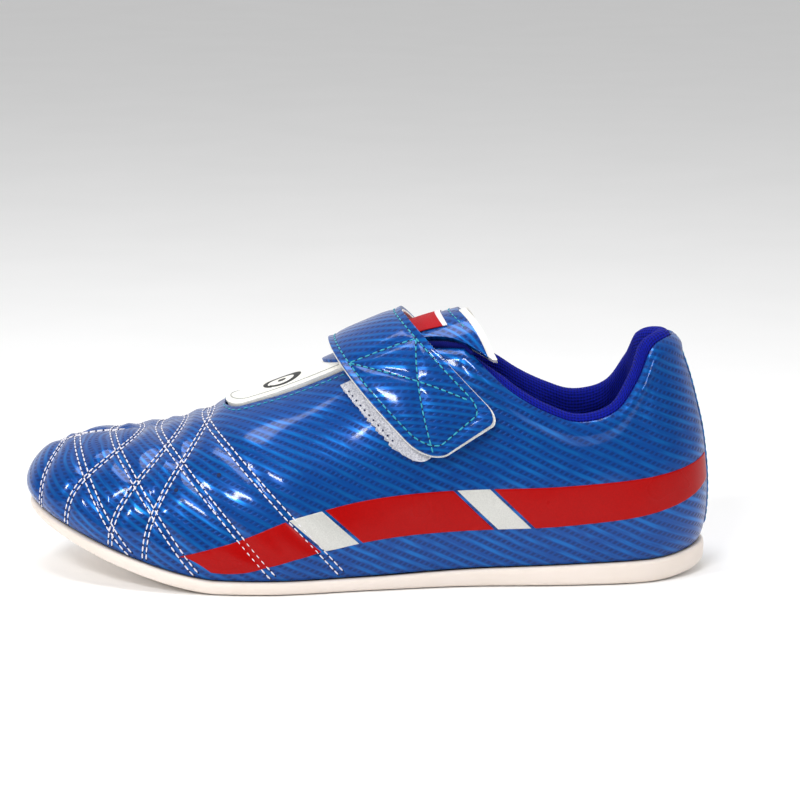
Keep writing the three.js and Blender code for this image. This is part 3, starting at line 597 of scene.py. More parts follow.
def knit(name, light, dark, cell, depth, sheen):
    """Polyester spacer knit: small round cells with yarn rising between them, matt with a soft nap."""
    material, tree, shader = finish_of(
        name, Roughness=0.85, Specular_IOR_Level=0.12, Sheen_Weight=sheen, Sheen_Roughness=0.5
    )
    uv = pattern_uv(tree)
    yarn = level(tree, voronoi(tree, uv, cell, "F1", Randomness=0.15), 0.1, 0.62, 0, 1)
    fuzz = noise_of(tree, uv, 0.5, 2)
    colour = blend_colours(tree, yarn, dark, light)
    drive(tree, shader, Base_Color=blend_colours(tree, level(tree, fuzz, 0.3, 0.7, 0, 0.3), colour, dark))
    bumped(tree, shader, yarn, depth, 0.9)
    return material


def moulded(name, colour, stain, roughness, grain, depth, coat=0.0):
    """Moulded rubber, foam or board: one colour through and through, faintly uneven, with a fine skin."""
    material, tree, shader = finish_of(name, Coat_Weight=coat, Coat_Roughness=0.3)
    here = object_mm(tree)
    fine, wide = noise_of(tree, here, grain, 3), noise_of(tree, here, 18, 3)
    tinted = blend_colours(tree, level(tree, wide, 0.35, 0.75, 0, 0.5), colour, stain)
    worn = level(tree, fine, 0.3, 0.7, roughness - 0.06, roughness + 0.08)
    drive(tree, shader, Base_Color=tinted, Roughness=worn)
    bumped(tree, shader, fine, depth, 0.5)
    return material


def smooth_leather(name, colour, pebble_edge_shade):
    """Smooth polyurethane leather in a satin finish, pebbled at about 0.9 mm, with painted shade darkening the
    pebbles' edges.
    """
    material, tree, shader = finish_of(name, Coat_Weight=0.12, Coat_Roughness=0.35)
    here = object_mm(tree)
    pebble_edge_relief_and_shade = level(tree, voronoi(tree, here, 0.9, "DISTANCE_TO_EDGE"), 0, 0.16, 0, 1)
    worn = level(tree, noise_of(tree, here, 9), 0.3, 0.7, 0.36, 0.5)
    # Painted shade: the colour darkens towards the pebbles' edges, where the grain dips.
    drive(tree, shader, Base_Color=blend_colours(tree, pebble_edge_relief_and_shade, pebble_edge_shade, colour), Roughness=worn)
    bumped(tree, shader, pebble_edge_relief_and_shade, 0.05, 0.5)
    return material


def pile(name, colour, shadow, size, depth):
    """Hook or loop tape: a dense nylon pile, bright at its tips and dark between them."""
    material, tree, shader = finish_of(name, Roughness=0.75, Sheen_Weight=0.4, Sheen_Roughness=0.4)
    tufts = noise_of(tree, object_mm(tree), size, 4)
    tips = level(tree, tufts, 0.36, 0.6, 0, 1)
    drive(tree, shader, Base_Color=blend_colours(tree, tips, shadow, colour))
    bumped(tree, shader, tufts, depth, 1.0)
    return material


def sewing_thread(name, colour, shadow):
    """Bonded polyester thread: plies laid at a slant, with a silky shine."""
    material, tree, shader = finish_of(name, Roughness=0.42, Sheen_Weight=0.2)
    plies = wave(tree, object_mm(tree), 0.9, "DIAGONAL", Distortion=0.6)
    drive(tree, shader, Base_Color=blend_colours(tree, level(tree, plies, 0, 0.5, 0.45, 0), colour, shadow))
    bumped(tree, shader, plies, 0.05, 0.6)
    return material


LABEL_EDGE = (15.2, 15.4)  # where across its UV map the label's field turns into its edge


def woven_label(name, field, edge):
    """A plain damask label: a field of satin threads with a white woven edge at its rear, ribbed at 0.35 mm."""
    material, tree, shader = finish_of(name, Roughness=0.6, Specular_IOR_Level=0.15)
    uv = pattern_uv(tree)
    across = add(tree, "ShaderNodeSeparateXYZ", {"Vector": uv}).outputs[1]
    ribs = wave(tree, uv, 0.9, "X")
    woven = blend_colours(tree, level(tree, across, *LABEL_EDGE, 0, 1), field, edge)
    drive(tree, shader, Base_Color=blend_colours(tree, level(tree, ribs, 0, 1, 0.25, 0), woven, BLACK))
    bumped(tree, shader, ribs, 0.08, 0.6)
    return material


FINISHES = {}


def finish(name):
    """One of the shoe's finishes, made when it is first asked for."""
    if FINISHES:
        return FINISHES[name]
    hues = bpy.context.scene.shoe_colours
    names = ("leather", "leather_deep", "leather_glint", "white", "red", "silver", "collar", "rubber", "thread")
    blue, deep, painted_glint, white, red, silver, collar, rubber, turquoise = (opaque(getattr(hues, n)) for n in names)
    FINISHES.update(
        leather=coated_leather("pearl_coated_leather", blue, deep, painted_glint, -27),
        strap_leather=coated_leather("pearl_coated_strap_leather", blue, deep, painted_glint, 62),
        red=film("red_transfer_film", red, 0.0, 0.3, 0.7),
        silver=film("silver_transfer_film", silver, 0.25, 0.34, 0.5),
        rubber=moulded("moulded_cup_rubber", rubber, opaque("#ded2c4"), 0.5, 0.5, 0.03, 0.1),
        midsole=moulded("moulded_eva_foam", opaque("#e8e8e6"), opaque("#d8d8d4"), 0.8, 0.9, 0.05),
        board=moulded("pressed_fibre_board", opaque("#d8cdb4"), opaque("#b9ab8c"), 0.9, 0.7, 0.06),
        stiffener=moulded("thermoplastic_stiffener", opaque("#e6dcc0"), opaque("#cfc2a0"), 0.7, 0.9, 0.04),
        collar=knit("collar_spacer_knit", collar, opaque("#040a50"), 1.3, 0.4, 0.02),
        collar_lining=knit("lining_mesh_knit", opaque("#06168c"), opaque("#03083c"), 1.7, 0.5, 0.02),
        toe_lining=knit("white_lining_knit", opaque("#e9e9ee"), opaque("#b4b6bf"), 1.6, 0.2, 0.2),
        # The second colour of each smooth leather is the painted shade at its pebbles' edges.
        white=smooth_leather("white_smooth_leather", white, opaque("#e2dfd4")),
        backing=smooth_leather("strap_backing_leather", opaque("#efeeea"), opaque("#d6d4cc")),
        loop=pile("loop_tape_pile", opaque("#d6d6dc"), opaque("#a4a5b0"), 0.6, 0.3),
        hook=pile("hook_tape_pile", opaque("#d9dadb"), opaque("#8e9094"), 1.1, 0.5),
        white_thread=sewing_thread("white_bonded_thread", opaque("#e9e6ee"), opaque("#8f8fa8")),
        blue_thread=sewing_thread("turquoise_bonded_thread", turquoise, opaque("#04566e")),
        # Painted shade: the dark colour of needle punctures and vent openings, which are not cut.
        hole=moulded("needle_hole_shadow", opaque("#0b1c4a"), opaque("#0b1c4a"), 0.9, 0.5, 0.01),
        ink=moulded("printing_ink", opaque("#141416"), opaque("#26262a"), 0.55, 0.6, 0.02),
        grey=moulded("piping_cord_grey", opaque("#a9aba8"), opaque("#8f918e"), 0.6, 0.6, 0.02),
        label=woven_label("woven_satin_label", opaque("#b5121f"), opaque("#efe9ee")),
    )
    return FINISHES[name]


# ---------------------------------------------------------------- settings
def size_of(name, description, default):
    return bpy.props.FloatProperty(
        name=name, description=description, default=default * MM, min=0, precision=5, unit="LENGTH"
    )


def colour_of(name, description, default):
    return bpy.props.FloatVectorProperty(
        name=name, description=description, default=tone(default), size=3, min=0, max=1, subtype="COLOR"
    )


class ShoeColours(bpy.types.PropertyGroup):
    """Colours of the shoe's materials"""

    leather: colour_of("Leather", "Pearl blue of the coated leather", "#003f8a")
    leather_deep: colour_of("Leather cells", "Dark cells of the leather's embossed film", "#00245e")
    # Colour of the painted highlights, the bright streaks between the cells.
    leather_glint: colour_of("Leather glint", "Bright rows between the cells", "#0c72c2")
    collar: colour_of("Collar", "Knit over the padded collar", "#0719a6")
    rubber: colour_of("Rubber", "Cupsole", "#e8dcd2")
    white: colour_of("White", "Face of the tongue", "#eeede6")
    red: colour_of("Red", "Red blocks of the side bands", "#a60000")
    silver: colour_of("Silver", "Silver blocks of the side bands", "#cfcfca")
    thread: colour_of("Thread", "Turquoise stitching of the strap and the edges", "#12a0b4")


class ShoeUpper(bpy.types.PropertyGroup):
    """Sizes of the upper, its quilting and its stitches"""

    puff: size_of("Puff", "How far the padding stands up between the quilting lines", 1.25)
    groove: size_of("Groove", "How far the stitching pulls the leather in", 0.45)
    stitch: size_of("Stitch", "Distance from one stitch to the next", 3.0)
    thread: size_of("Thread", "Thickness of the thread", 0.68)


class ShoeSole(bpy.types.PropertyGroup):
    """Sizes of the cupsole"""

    flare: size_of("Flare", "How far the rim stands out past the upper", 2.4)
    tread: size_of("Tread", "Thickness under the pocket", 2.6)
    groove: size_of("Groove", "Depth of the tread's grooves", 1.2)


class ShoeStrap(bpy.types.PropertyGroup):
    """Sizes of the strap"""

    inset: size_of("Inset", "From the strap's edge to its stitching", 2.6)
    stitch: size_of("Stitch", "Distance from one stitch to the next", 2.9)
    thread: size_of("Thread", "Thickness of the thread", 0.72)


# ---------------------------------------------------------------- sole unit
BALL_X = -0.16 * LENGTH


def footprint_ring(k, outward):
    x, y = around(k)[:, 0], around(k)[:, 1]
    run = unit(around(k + 0.05)[:, :2] - around(k - 0.05)[:, :2])
    return np.stack([x + run[:, 1] * outward, y - run[:, 0] * outward], -1), x


def layered(k, section):
    """Rings round the footprint. Each section entry gives how far out its ring is and its height over x."""
    rows = []
    for outward, height in section:
        ring, x = footprint_ring(k, outward)
        rows.append(np.column_stack([ring, height(x)]))
    return rows


def with_middle(rows, count, start):
    """Rows that fill in from the shoe's middle line to the first (or last) row."""
    edge = rows[0] if start else rows[-1]
    middle = (edge + edge[::-1]) / 2
    inner = [lerp(middle, edge, t) for t in np.linspace(0, 1, count, endpoint=False)]
    return inner + rows if start else rows + inner[::-1]


SOLE_WALL = [(-3.0, 0, 0), (-1.7, 0.18, 0), (-0.6, 0.95, 0), (-0.1, 2.0, 0.04), (0.02, 0, 0.58)] + [
    (-0.05, -1.5, 1), (-0.35, -0.6, 1), (-0.95, -0.08, 1), (-1.7, 0, 1)
]
SOLE_COLUMNS, WALL_ROWS, LIP = 529, 26, 4.0
BOARD, SOCKLINER, SOCKLINER_INSET = 1.6, 3, -4.6
PIVOT_RINGS, RING_CUT = (8, 14, 20), 1.2
SLOTS, SLOT_PITCH, SLOT_X, SLOT_WIDTH, SLOT_LENGTH = 5, 11, 0.24 * LENGTH, 2.4, 34


class SHOE_OT_sole(bpy.types.Operator):
    """Build the rubber cupsole with its tread, and the layers that lie in it"""

    bl_idname = "shoe.sole"
    bl_label = "Sole Unit"

    def execute(self, context):
        settings = context.scene.shoe_sole
        flare, tread = settings.flare / MM, settings.tread / MM
        k = np.linspace(0, 2 * HEEL, SOLE_COLUMNS)
        section = [
            (flare + o, lambda x, a=a, b=b: sole_bottom(x) + a + b * rim_height(x))
            for o, a, b in rounded(SOLE_WALL, WALL_ROWS)
        ]
        pocket = flare - LIP
        section += [(pocket, rim_top), (pocket, lambda x: sole_bottom(x) + tread)]
        rows = with_middle(with_middle(layered(k, section), 14, True), 3, False)
        bm = bent_grid(np.stack(rows, 1))
        bmesh.ops.recalc_face_normals(bm, faces=bm.faces)
        sole = finished(bm, "cupsole", finish("rubber"))
        self.cut_tread(sole, settings.groove / MM)
        shown(sole, "shoe", "sole_rubber", "outsole")

        # The sockliner: 3 mm foam under a knit, cupped round its edge.
        liner = [
            (SOCKLINER_INSET + o, lambda x, h=h: rim_top(x) + BOARD + GAP - 0.6 + SOCKLINER + h)
            for o, h in rounded([(-9, 0), (-3, 0.5), (-0.9, 1.6), (0, 1.9)], 12)
        ]
        rows = with_middle(layered(k, liner), 12, True)
        piece = sheet("sockliner_pad", np.stack(rows, 1), finish("collar_lining"), 2.6, 0.6)
        piece.data.flip_normals()
        shown(piece, "shoe", "sockliner_foam", "sockliner")
        for node, name in (
            ("midsole", "midsole"),
            ("insole_board", "board"),
            ("toe_puff", "stiffener"),
            ("heel_counter", "stiffener"),
        ):
            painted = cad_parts[node].data.materials
            painted.clear()
            painted.append(finish(name))
        return {"FINISHED"}

    def cut_tread(self, sole, depth):
        """Cuts the pivot rings and the heel slots with a boolean, and leaves a plain mesh."""
        bm = bmesh.new()
        for radius in PIVOT_RINGS:
            ring = bmesh.ops.create_circle(bm, segments=12, radius=RING_CUT * MM, cap_ends=True)["verts"]
            place = Matrix.Translation(Vector((BALL_X + radius, 0, depth - RING_CUT)) * MM)
            bmesh.ops.transform(bm, matrix=place @ Matrix.Rotation(math.pi / 2, 4, "X"), verts=ring)
            faces = list(dict.fromkeys(f for v in ring for f in v.link_faces))
            centre = Vector((BALL_X, 0, 0)) * MM
            bmesh.ops.spin(
                bm, geom=faces, cent=centre, axis=(0, 0, 1), angle=2 * math.pi, steps=72, use_merge=True
            )
            bmesh.ops.delete(bm, geom=faces, context="FACES_ONLY")
        for n in range(SLOTS):
            made = bmesh.ops.create_cube(bm, size=1)["verts"]
            place = Matrix.Translation(Vector((SLOT_X + SLOT_PITCH * n, 0, (depth - 1) / 2)) * MM)
            size = Matrix.Diagonal((SLOT_WIDTH * MM, SLOT_LENGTH * MM, (depth + 1) * MM, 1))
            bmesh.ops.transform(bm, matrix=place @ size, verts=made)
            edges = dict.fromkeys(e for v in made for e in v.link_edges)  # each edge once
            tall = [e for e in edges if abs(e.verts[0].co.z - e.verts[1].co.z) > 1e-6]
            bmesh.ops.bevel(
                bm, geom=tall, offset=1.1 * MM, segments=4, profile=0.5, affect="EDGES", material=-1
            )
        bmesh.ops.remove_doubles(bm, verts=bm.verts, dist=1e-6)
        bmesh.ops.recalc_face_normals(bm, faces=bm.faces)
        cutter = finished(bm, "tread_cutter", finish("rubber"))
        cut = sole.modifiers.new("Tread", "BOOLEAN")
        cut.object, cut.operation, cut.solver = cutter, "DIFFERENCE", "EXACT"
        freeze(sole)
        bpy.data.objects.remove(cutter)


def freeze(piece):
    """Turns a piece's modifiers into plain mesh."""
    graph = bpy.context.evaluated_depsgraph_get()
    mesh = bpy.data.meshes.new_from_object(piece.evaluated_get(graph), depsgraph=graph)
    piece.modifiers.clear()
    piece.data = mesh


# ---------------------------------------------------------------- upper
def upper_columns():
    """Stations for the upper's columns: even along the sole, closer round the throat's front end."""
    k = np.linspace(0, HEEL, 3000)
    far = travelled(last(k, np.full_like(k, WAIST)))
    front = np.interp([THROAT_FRONT, SEAM_TOP], k, far)
    toe = np.interp(np.linspace(0, front[0], 118), far, k)
    bend = THROAT_FRONT + (SEAM_TOP - THROAT_FRONT) * (1 - np.cos(np.linspace(0, np.pi / 2, 18)))
    rear = np.interp(np.linspace(front[1], far[-1], 160), far, k)
    half = np.concatenate([toe, bend[1:], rear[1:]])
    return np.concatenate([-half[:0:-1], half])


def wall_angles(k, top, rows, bottom=0.15):
    """For each station, angles from the sole to the top edge, evenly spaced along the surface."""
    share = (1 - np.cos(np.linspace(0, np.pi, 240))) / 2
    fine = lerp(radians(bottom), top[:, None], share[None, :])
    far = climbed(last(k[:, None], fine))
    steps = np.linspace(0, 1, rows)
    return np.array([np.interp(steps * f[-1], f, a) for f, a in zip(far, fine)])


def edge_bead(below):
    """The turned edge: a shallow ridge a few millimetres below the collar's top edge."""
    return np.exp(-(((below - 4.8) / 3.2) ** 2)) - 0.5 * np.exp(-((below / 1.2) ** 2))


WAIST = radians(35)  # the angle along which the upper's columns are spread and its UV map is measured
VENT_X, VENT_HEIGHT, VENT_RADIUS = np.array([-76.0, -59.0]), np.array([40.0, 46.0]), 0.9
LINING_FRONT, LINING_DEPTH = 5.2, PANEL + 0.5 + STIFFENER + 0.5
BACKSTAY_HALF, BACKSTAY_TAPER = 0.26, 0.75


class SHOE_OT_upper(bpy.types.Operator):
    """Build the quilted upper, its linings, its backstay and its stitching"""

    bl_idname = "shoe.upper"
    bl_label = "Upper"

    def execute(self, context):
        k = upper_columns()
        angle = wall_angles(k, top_angle(k), 66)
        grid = np.repeat(k[:, None], angle.shape[1], 1)
        points, normals = skin(grid, angle)
        height = climbed(points)
        ridge = edge_bead(height[:, -1:] - height) * smooth_step((np.abs(grid) - 6.2) / 0.8)
        points = points + normals * ridge[..., None]
        waist = travelled(last(k, np.full_like(k, WAIST)))
        uv = np.stack([np.repeat(waist[:, None], angle.shape[1], 1), height], -1)
        upper = finished(bent_grid(points, uv), "upper", finish("leather"))
        thicken(upper, PANEL, 0.35, 2)
        shown(upper, "shoe", "upper_blue", "vamp", "lateral_quarter", "medial_quarter")

        self.quilt(context.scene.shoe_upper)
        self.edge_rows()
        self.vents()
        self.linings()
        self.backstay(context.scene.shoe_upper)
        return {"FINISHED"}

    def quilt(self, settings):
        """Two rows of white stitches along each quilting line, with a dark bead between stitches: painted shade
        of the needle puncture there.
        """
        white, hole_shades = bmesh.new(), bmesh.new()
        pitch, width = settings.stitch / MM, settings.thread / MM
        for k, angle, gap in QUILT_PATHS:
            base, normals = last(k, angle), last_normal(k, angle)
            foot = base[:, 2] - rim_top(around(k)[:, 0])
            keep = foot > 1.2  # the rows stop just above the rim
            for side in (-0.5, 0.5):
                moved = offset_line(base, normals, side * gap)
                lifted = moved + normals * (relief(moved, foot) + 0.12)[:, None]
                thread(white, lifted[keep], normals[keep], pitch, pitch * 0.86, width)
                # Painted shade: a flat dark bead where the needle pierces, standing for the shadow in the groove.
                thread(hole_shades, lifted[keep], normals[keep], pitch, 1.3, 0.85, 0.16, phase=0.0)
        sewn(white, "quilt_stitches", "white_thread")
        sewn(hole_shades, "quilt_needle_holes", "hole")

    def edge_rows(self):
        """Turquoise stitches along the throat and under the collar."""
        bm = bmesh.new()
        for side in (1, -1):
            front = np.linspace(THROAT_FRONT + 0.002, SEAM_TOP, 60)
            k = side * np.concatenate([front, np.linspace(SEAM_TOP, 7.25, 140)[1:]])
            inside = angle_at_height(k, last(k, top_angle(k))[:, 2]) - radians(3.2)
            points, normals = skin(k, inside, 0.15)
            thread(bm, spread(points, 400), spread(normals, 400), 2.7, 2.1, 0.5)
        sewn(bm, "throat_stitches", "blue_thread")

    def vents(self):
        """Two small vents on the outer side, behind the toe, drawn as flat dark discs: painted shade of their
        openings.
        """
        k = solve(VENT_X, lambda k: last(k, angle_at_height(k, VENT_HEIGHT))[..., 0], 1.0, 6.0)
        points, normals = skin(k, angle_at_height(k, VENT_HEIGHT), 0.05)
        flat = Matrix.Diagonal((VENT_RADIUS, VENT_RADIUS, 0.25, 1))
        bm = bmesh.new()
        for point, normal in zip(points, normals):
            turned = Vector(normal).to_track_quat("Z", "Y").to_matrix().to_4x4()
            place = Matrix.Scale(MM, 4) @ Matrix.Translation(Vector(point)) @ turned @ flat
            bmesh.ops.create_uvsphere(bm, u_segments=16, v_segments=8, radius=1, matrix=place)
        sewn(bm, "vent_holes", "hole")

    def linings(self):
        """The lining's inner face: white under the toe, blue from the throat back."""
        for name, material, low, high, node, slot in (
            ("toe_lining", "toe_lining", -LINING_FRONT, LINING_FRONT, "vamp_lining", "lining_white"),
            ("quarter_lining_knit", "collar_lining", 5.25, 2 * HEEL - 5.25, "quarter_lining", "lining_blue"),
        ):
            k = np.linspace(low, high, 180)
            near = fold(k)
            half = np.minimum((near - THROAT_FRONT) * 80, 24)
            top = np.where(near <= THROAT_FRONT, np.pi / 2, angle_from_ridge(k, half))
            under = angle_at_height(k, collar_height(near) - 21)
            top = np.where(near > CORNER - 0.3, np.minimum(top, under), top)
            angle = wall_angles(k, top, 40)
            grid = np.repeat(k[:, None], 40, 1)
            points = last(grid, angle) - last_normal(grid, angle) * LINING_DEPTH
            piece = sheet(name, points, finish(material), LINING * 0.8)
            shown(piece, "shoe", slot, node)

    def backstay(self, settings):
        """The strip over the heel seam, with a row of stitches down each edge."""
        u, v = crossed(np.linspace(0, 1, 90), np.linspace(-1, 1, 25))
        bottom, top = radians(4), top_angle(np.array([float(HEEL)]))[0] - radians(1)
        k = HEEL + BACKSTAY_HALF * v * lerp(1, BACKSTAY_TAPER, u)
        angle = lerp(bottom, top, u)
        points, normals = skin(k, angle, 0.3)
        points = points.transpose(1, 0, 2)
        piece = sheet("backstay_strip", points, finish("strap_leather"), 0.8, 0.3, segments=2)
        shown(piece, "shoe", "upper_blue", "backstay")
        bm = bmesh.new()
        for edge in (-1, 1):
            line = HEEL + BACKSTAY_HALF * edge * 0.78 * lerp(1, BACKSTAY_TAPER, u[:, 0])
            points, normals = skin(line, angle[:, 0], 0.28)
            thread(bm, points, normals, settings.stitch / MM, 2.3, 0.5)
        sewn(bm, "backstay_stitches", "blue_thread")


# ---------------------------------------------------------------- side bands
band_middle = through([(3.9, 13), (4.6, 15.5), (5.3, 23), (6.3, 30), (8, 33), (9.5, 38), (10.7, 44)])
band_half = through([(3.9, 2), (4.6, 6.4), (5.3, 8), (8, 8), (9.5, 7), (10.7, 5)])
BAND_END = 10.6
BAND_BLOCKS = [
    ("red_band_front", 4.1, 5.36),
    ("silver_block_front", 5.4, 5.76),
    ("red_band_middle", 5.8, 7.1),
    ("silver_block_rear", 7.14, 7.46),
    ("red_band_rear", 7.5, BAND_END),
]


class SHOE_OT_bands(bpy.types.Operator):
    """Build the film blocks of the band on each side"""

    bl_idname = "shoe.bands"
    bl_label = "Side Bands"

    def execute(self, context):
        for side, word in ((1, "lateral"), (-1, "medial")):
            for name, start, end in BAND_BLOCKS:
                columns = int((end - start) * 34) + 2
                v, height = crossed(np.linspace(0, 1, columns), np.linspace(-1, 1, 21))
                middle = lerp(start, end, v)
                k = middle - 0.2 * height * np.minimum(1, (BAND_END - middle) / 0.4)
                floor = rim_top(around(side * k)[..., 0]) + GAP + 1.2
                z = np.maximum(band_middle(k) + band_half(k) * height, floor + 0.4 * (height + 1))
                points, _ = skin(side * k, angle_at_height(side * k, z), 0.32)
                points = points if side > 0 else points[::-1]
                colour = "silver" if "silver" in name else "red"
                piece = sheet(f"{word}_{name}_film", points, finish(colour), 0.5, 0.12, segments=2)
                shown(piece, "shoe", "band_" + colour, f"{word}_{name}")
        return {"FINISHED"}


# ---------------------------------------------------------------- padded collar
COLLAR_START = 7.02
# Height above the panels' top edge and depth behind their face, from the outside over the top to the inside.
COLLAR_SECTION = [(-5, 2.1), (-1.5, 2.0), (0.9, 1.9), (2.9, 3), (3.6, 5.2), (2.8, 7.8), (-0.5, 9.9)] + [
    (-6, 10.8), (-13, 9.2), (-21, 6.0)
]
COLLAR_COLUMNS, COLLAR_ROWS = 320, 44
# The throat's knit roll narrows to the collar: the stations and the width of each run.
THROAT_ROLL = [(6.0, 6.86, 3.7), (6.86, 6.94, 3.2), (6.94, 7.02, 2.7), (7.02, 7.09, 2.1)]


def collar_point(k, h, o):
    """A point of the collar: h above the panels' top edge, measured square to it, and o in from their face."""
    near = fold(k)
    ahead, behind = near + 0.04, near - 0.04
    run = last(ahead, top_angle(ahead)) - last(behind, top_angle(behind))
    slope = np.abs(run[..., 2]) / np.hypot(run[..., 0], run[..., 1])
    stretch = np.where(near > HEEL - 1, 1, np.clip(np.hypot(1, slope), 1, 1.9))
    taper = np.clip((near - COLLAR_START) / 0.7, 0, 1)
    depth = 2.1 + 0.5 * (1 - taper) + (o - 2.1) * lerp(0.45, 1, np.sqrt(taper))
    rise = stretch * lerp(0.25, 1, smooth_step(taper * 1.6))
    angle = angle_at_height(k, collar_height(near) + np.where(h > 0, h * rise, h))
    return last(k, angle) - last_normal(k, angle) * depth[..., None]


class SHOE_OT_collar(bpy.types.Operator):
    """Build the padded collar as one knit sleeve, which stands for both its cover and its foam"""

    bl_idname = "shoe.collar"
    bl_label = "Padded Collar"

    def execute(self, context):
        section = rounded(COLLAR_SECTION, COLLAR_ROWS)
        k = np.linspace(COLLAR_START, 2 * HEEL - COLLAR_START, COLLAR_COLUMNS)
        far = travelled(collar_point(k, np.zeros_like(k), np.full_like(k, 5.2)))
        place = np.linspace(0, far[-1], COLLAR_COLUMNS)
        stations, h = crossed(np.interp(place, far, k), section[:, 0])
        o = np.broadcast_to(section[:, 1], stations.shape)
        points = collar_point(stations, h, o)
        # The knit gathers a little where the collar turns tightly.
        flow = np.gradient(points, axis=1)
        normal = unit(np.cross(np.gradient(points, axis=0), flow))
        deep = smooth_step((np.arange(COLLAR_ROWS)[None, :] - 10) / 14)
        ripple = np.array(
            [[noise.noise(Vector((s / 9, row * 0.12, 3.7))) for row in range(COLLAR_ROWS)] for s in place]
        )
        points = points + normal * (0.9 * ripple * deep)[..., None]
        piece = sheet("collar_sleeve", points, finish("collar"), 0.8)
        shown(piece, "shoe", "collar_knit", "collar_cover", "collar_foam")
        self.binding()
        return {"FINISHED"}

    def binding(self):
        """The knit carried on as a ribbed roll along the throat's edge, from the collar to under the strap."""
        bm = bmesh.new()
        for side in (1, -1):
            for start, end, width in THROAT_ROLL:
                k = side * np.linspace(start, end, 60)
                points, normals = skin(k, top_angle(k), 0.3)
                thread(bm, points, normals, 0.8, 1.5, width)
        sewn(bm, "throat_binding", "collar")


# ---------------------------------------------------------------- strap
STRAP_AT, STRAP_LEAN, STRAP_WIDTH, STRAP_END_WIDTH = 1.8, 0.96, 29.2, 33
FLAP_FOLD, FLAP_END, ANCHOR_FOLD, ANCHOR_END = (radians(a) for a in (68, 29.5, 56, 24))
END_SLANT, CORNER_TURN, CORNER_SHARE = radians(10), radians(7), 0.23
CREST = 9.2
LOOP_TOP = 0.8 + 1.2
FLAP_LIFT = LOOP_TOP + 0.5 + 1.2 + GAP + 1.0 + GAP
ANCHOR_LIFT = 0.5 + 1.0 + GAP
QUARTER_TURN = math.pi / 2
# Turns from the ridge: plus is towards the flap's end, on the outer side.
FLAP_FOLD_TURN, FLAP_END_TURN = QUARTER_TURN - FLAP_FOLD, QUARTER_TURN - FLAP_END
ANCHOR_FOLD_TURN, ANCHOR_END_TURN = -(QUARTER_TURN - ANCHOR_FOLD), -(QUARTER_TURN - ANCHOR_END)
strap_lift = through(
    [
        (ANCHOR_END_TURN, ANCHOR_LIFT),
        (ANCHOR_END_TURN * 0.8, ANCHOR_LIFT + 0.3),
        (ANCHOR_FOLD_TURN, CREST - 2.6),
        (0, CREST),
        (FLAP_FOLD_TURN, CREST - 1.4),
        (FLAP_END_TURN * 0.7, FLAP_LIFT + 0.1),
        (FLAP_END_TURN, FLAP_LIFT),
    ]
)
SPLIT = radians(-6)  # where the strap's two parts meet, on the bridge


def strap_cell(turn, w):
    """Station and angle of the upper under the strap at a turn from the ridge and a share w of its width."""
    turn, w = np.broadcast_arrays(np.asarray(turn, float), np.asarray(w, float))
    angle = QUARTER_TURN - np.abs(turn)
    down = np.clip(turn / FLAP_END_TURN, 0, 1)
    width = lerp(STRAP_WIDTH, STRAP_END_WIDTH, down)
    side = np.where(turn >= 0, 1, -1)
    middle = STRAP_AT + STRAP_LEAN * ridge_height(STRAP_AT)
    target = middle + 5.5 * down + w * width * math.hypot(1, STRAP_LEAN)

    def plane(k):
        p = last(side * k, angle)
        return p[..., 0] + STRAP_LEAN * p[..., 2]

    return side * solve(target, plane, 3.0, 9.6), angle


class StrapFace:
    """The underside of the strap's cover as a smooth table over turn and width."""

    turns = np.radians(np.arange(-72, 73, 1.0))
    reach, middle = 0.9, 20
    shares = np.linspace(-reach, reach, 2 * middle + 1)

    def __init__(self):
        turn, w = crossed(self.turns, self.shares)
        k, angle = strap_cell(turn, w)
        points = last(k, angle) + last_normal(k, angle) * strap_lift(turn)[..., None]
        for _ in range(14):
            points[1:-1] = (points[:-2] + 2 * points[1:-1] + points[2:]) / 4
        self.points = points
        self.normals = unit(np.cross(np.gradient(points, axis=0), np.gradient(points, axis=1)))
        self.far = travelled(points[:, self.middle])

    def look_up(self, table, turn, w):
        i = np.clip((turn - self.turns[0]) / radians(1), 0, len(self.turns) - 1.001)
        j = np.clip((w + self.reach) / (self.reach / self.middle), 0, len(self.shares) - 1.001)
        a, b = i.astype(int), j.astype(int)
        s, t = (i - a)[..., None], (j - b)[..., None]
        near, far = (table[a, c] * (1 - s) + table[a + 1, c] * s for c in (b, b + 1))
        return near * (1 - t) + far * t

    def at(self, turn, w, lift=0.0):
        turn, w = np.broadcast_arrays(np.asarray(turn, float), np.asarray(w, float))
        normal = unit(self.look_up(self.normals, turn, w))
        return self.look_up(self.points, turn, w) + normal * np.asarray(lift)[..., None], normal


def rounding(w, corner):
    past = np.clip((np.abs(w) - (0.5 - corner)) / corner, 0, 1)
    return 1 - np.sqrt(1 - past**2)


def flap_corner(w):
    """How far round the strap the free end's corners are cut: the heel corner is the tighter one."""
    return np.where(w < 0, radians(8) * rounding(w, 0.26), radians(4.6) * rounding(w, 0.15))


def flap_end(w, short=0.0):
    return FLAP_END_TURN - short - END_SLANT * w - flap_corner(w)


def anchor_end(w, short=0.0):
    return ANCHOR_END_TURN + END_SLANT * w + CORNER_TURN * rounding(w, CORNER_SHARE) + short


STRAP_UV = 31  # millimetres of UV map across the strap


def share_columns(count):
    """Shares of the width, closer together towards the edges."""
    v = np.linspace(0, 1, count)
    return lerp(v - 0.5, np.sin((v - 0.5) * np.pi) / 2, 0.75)


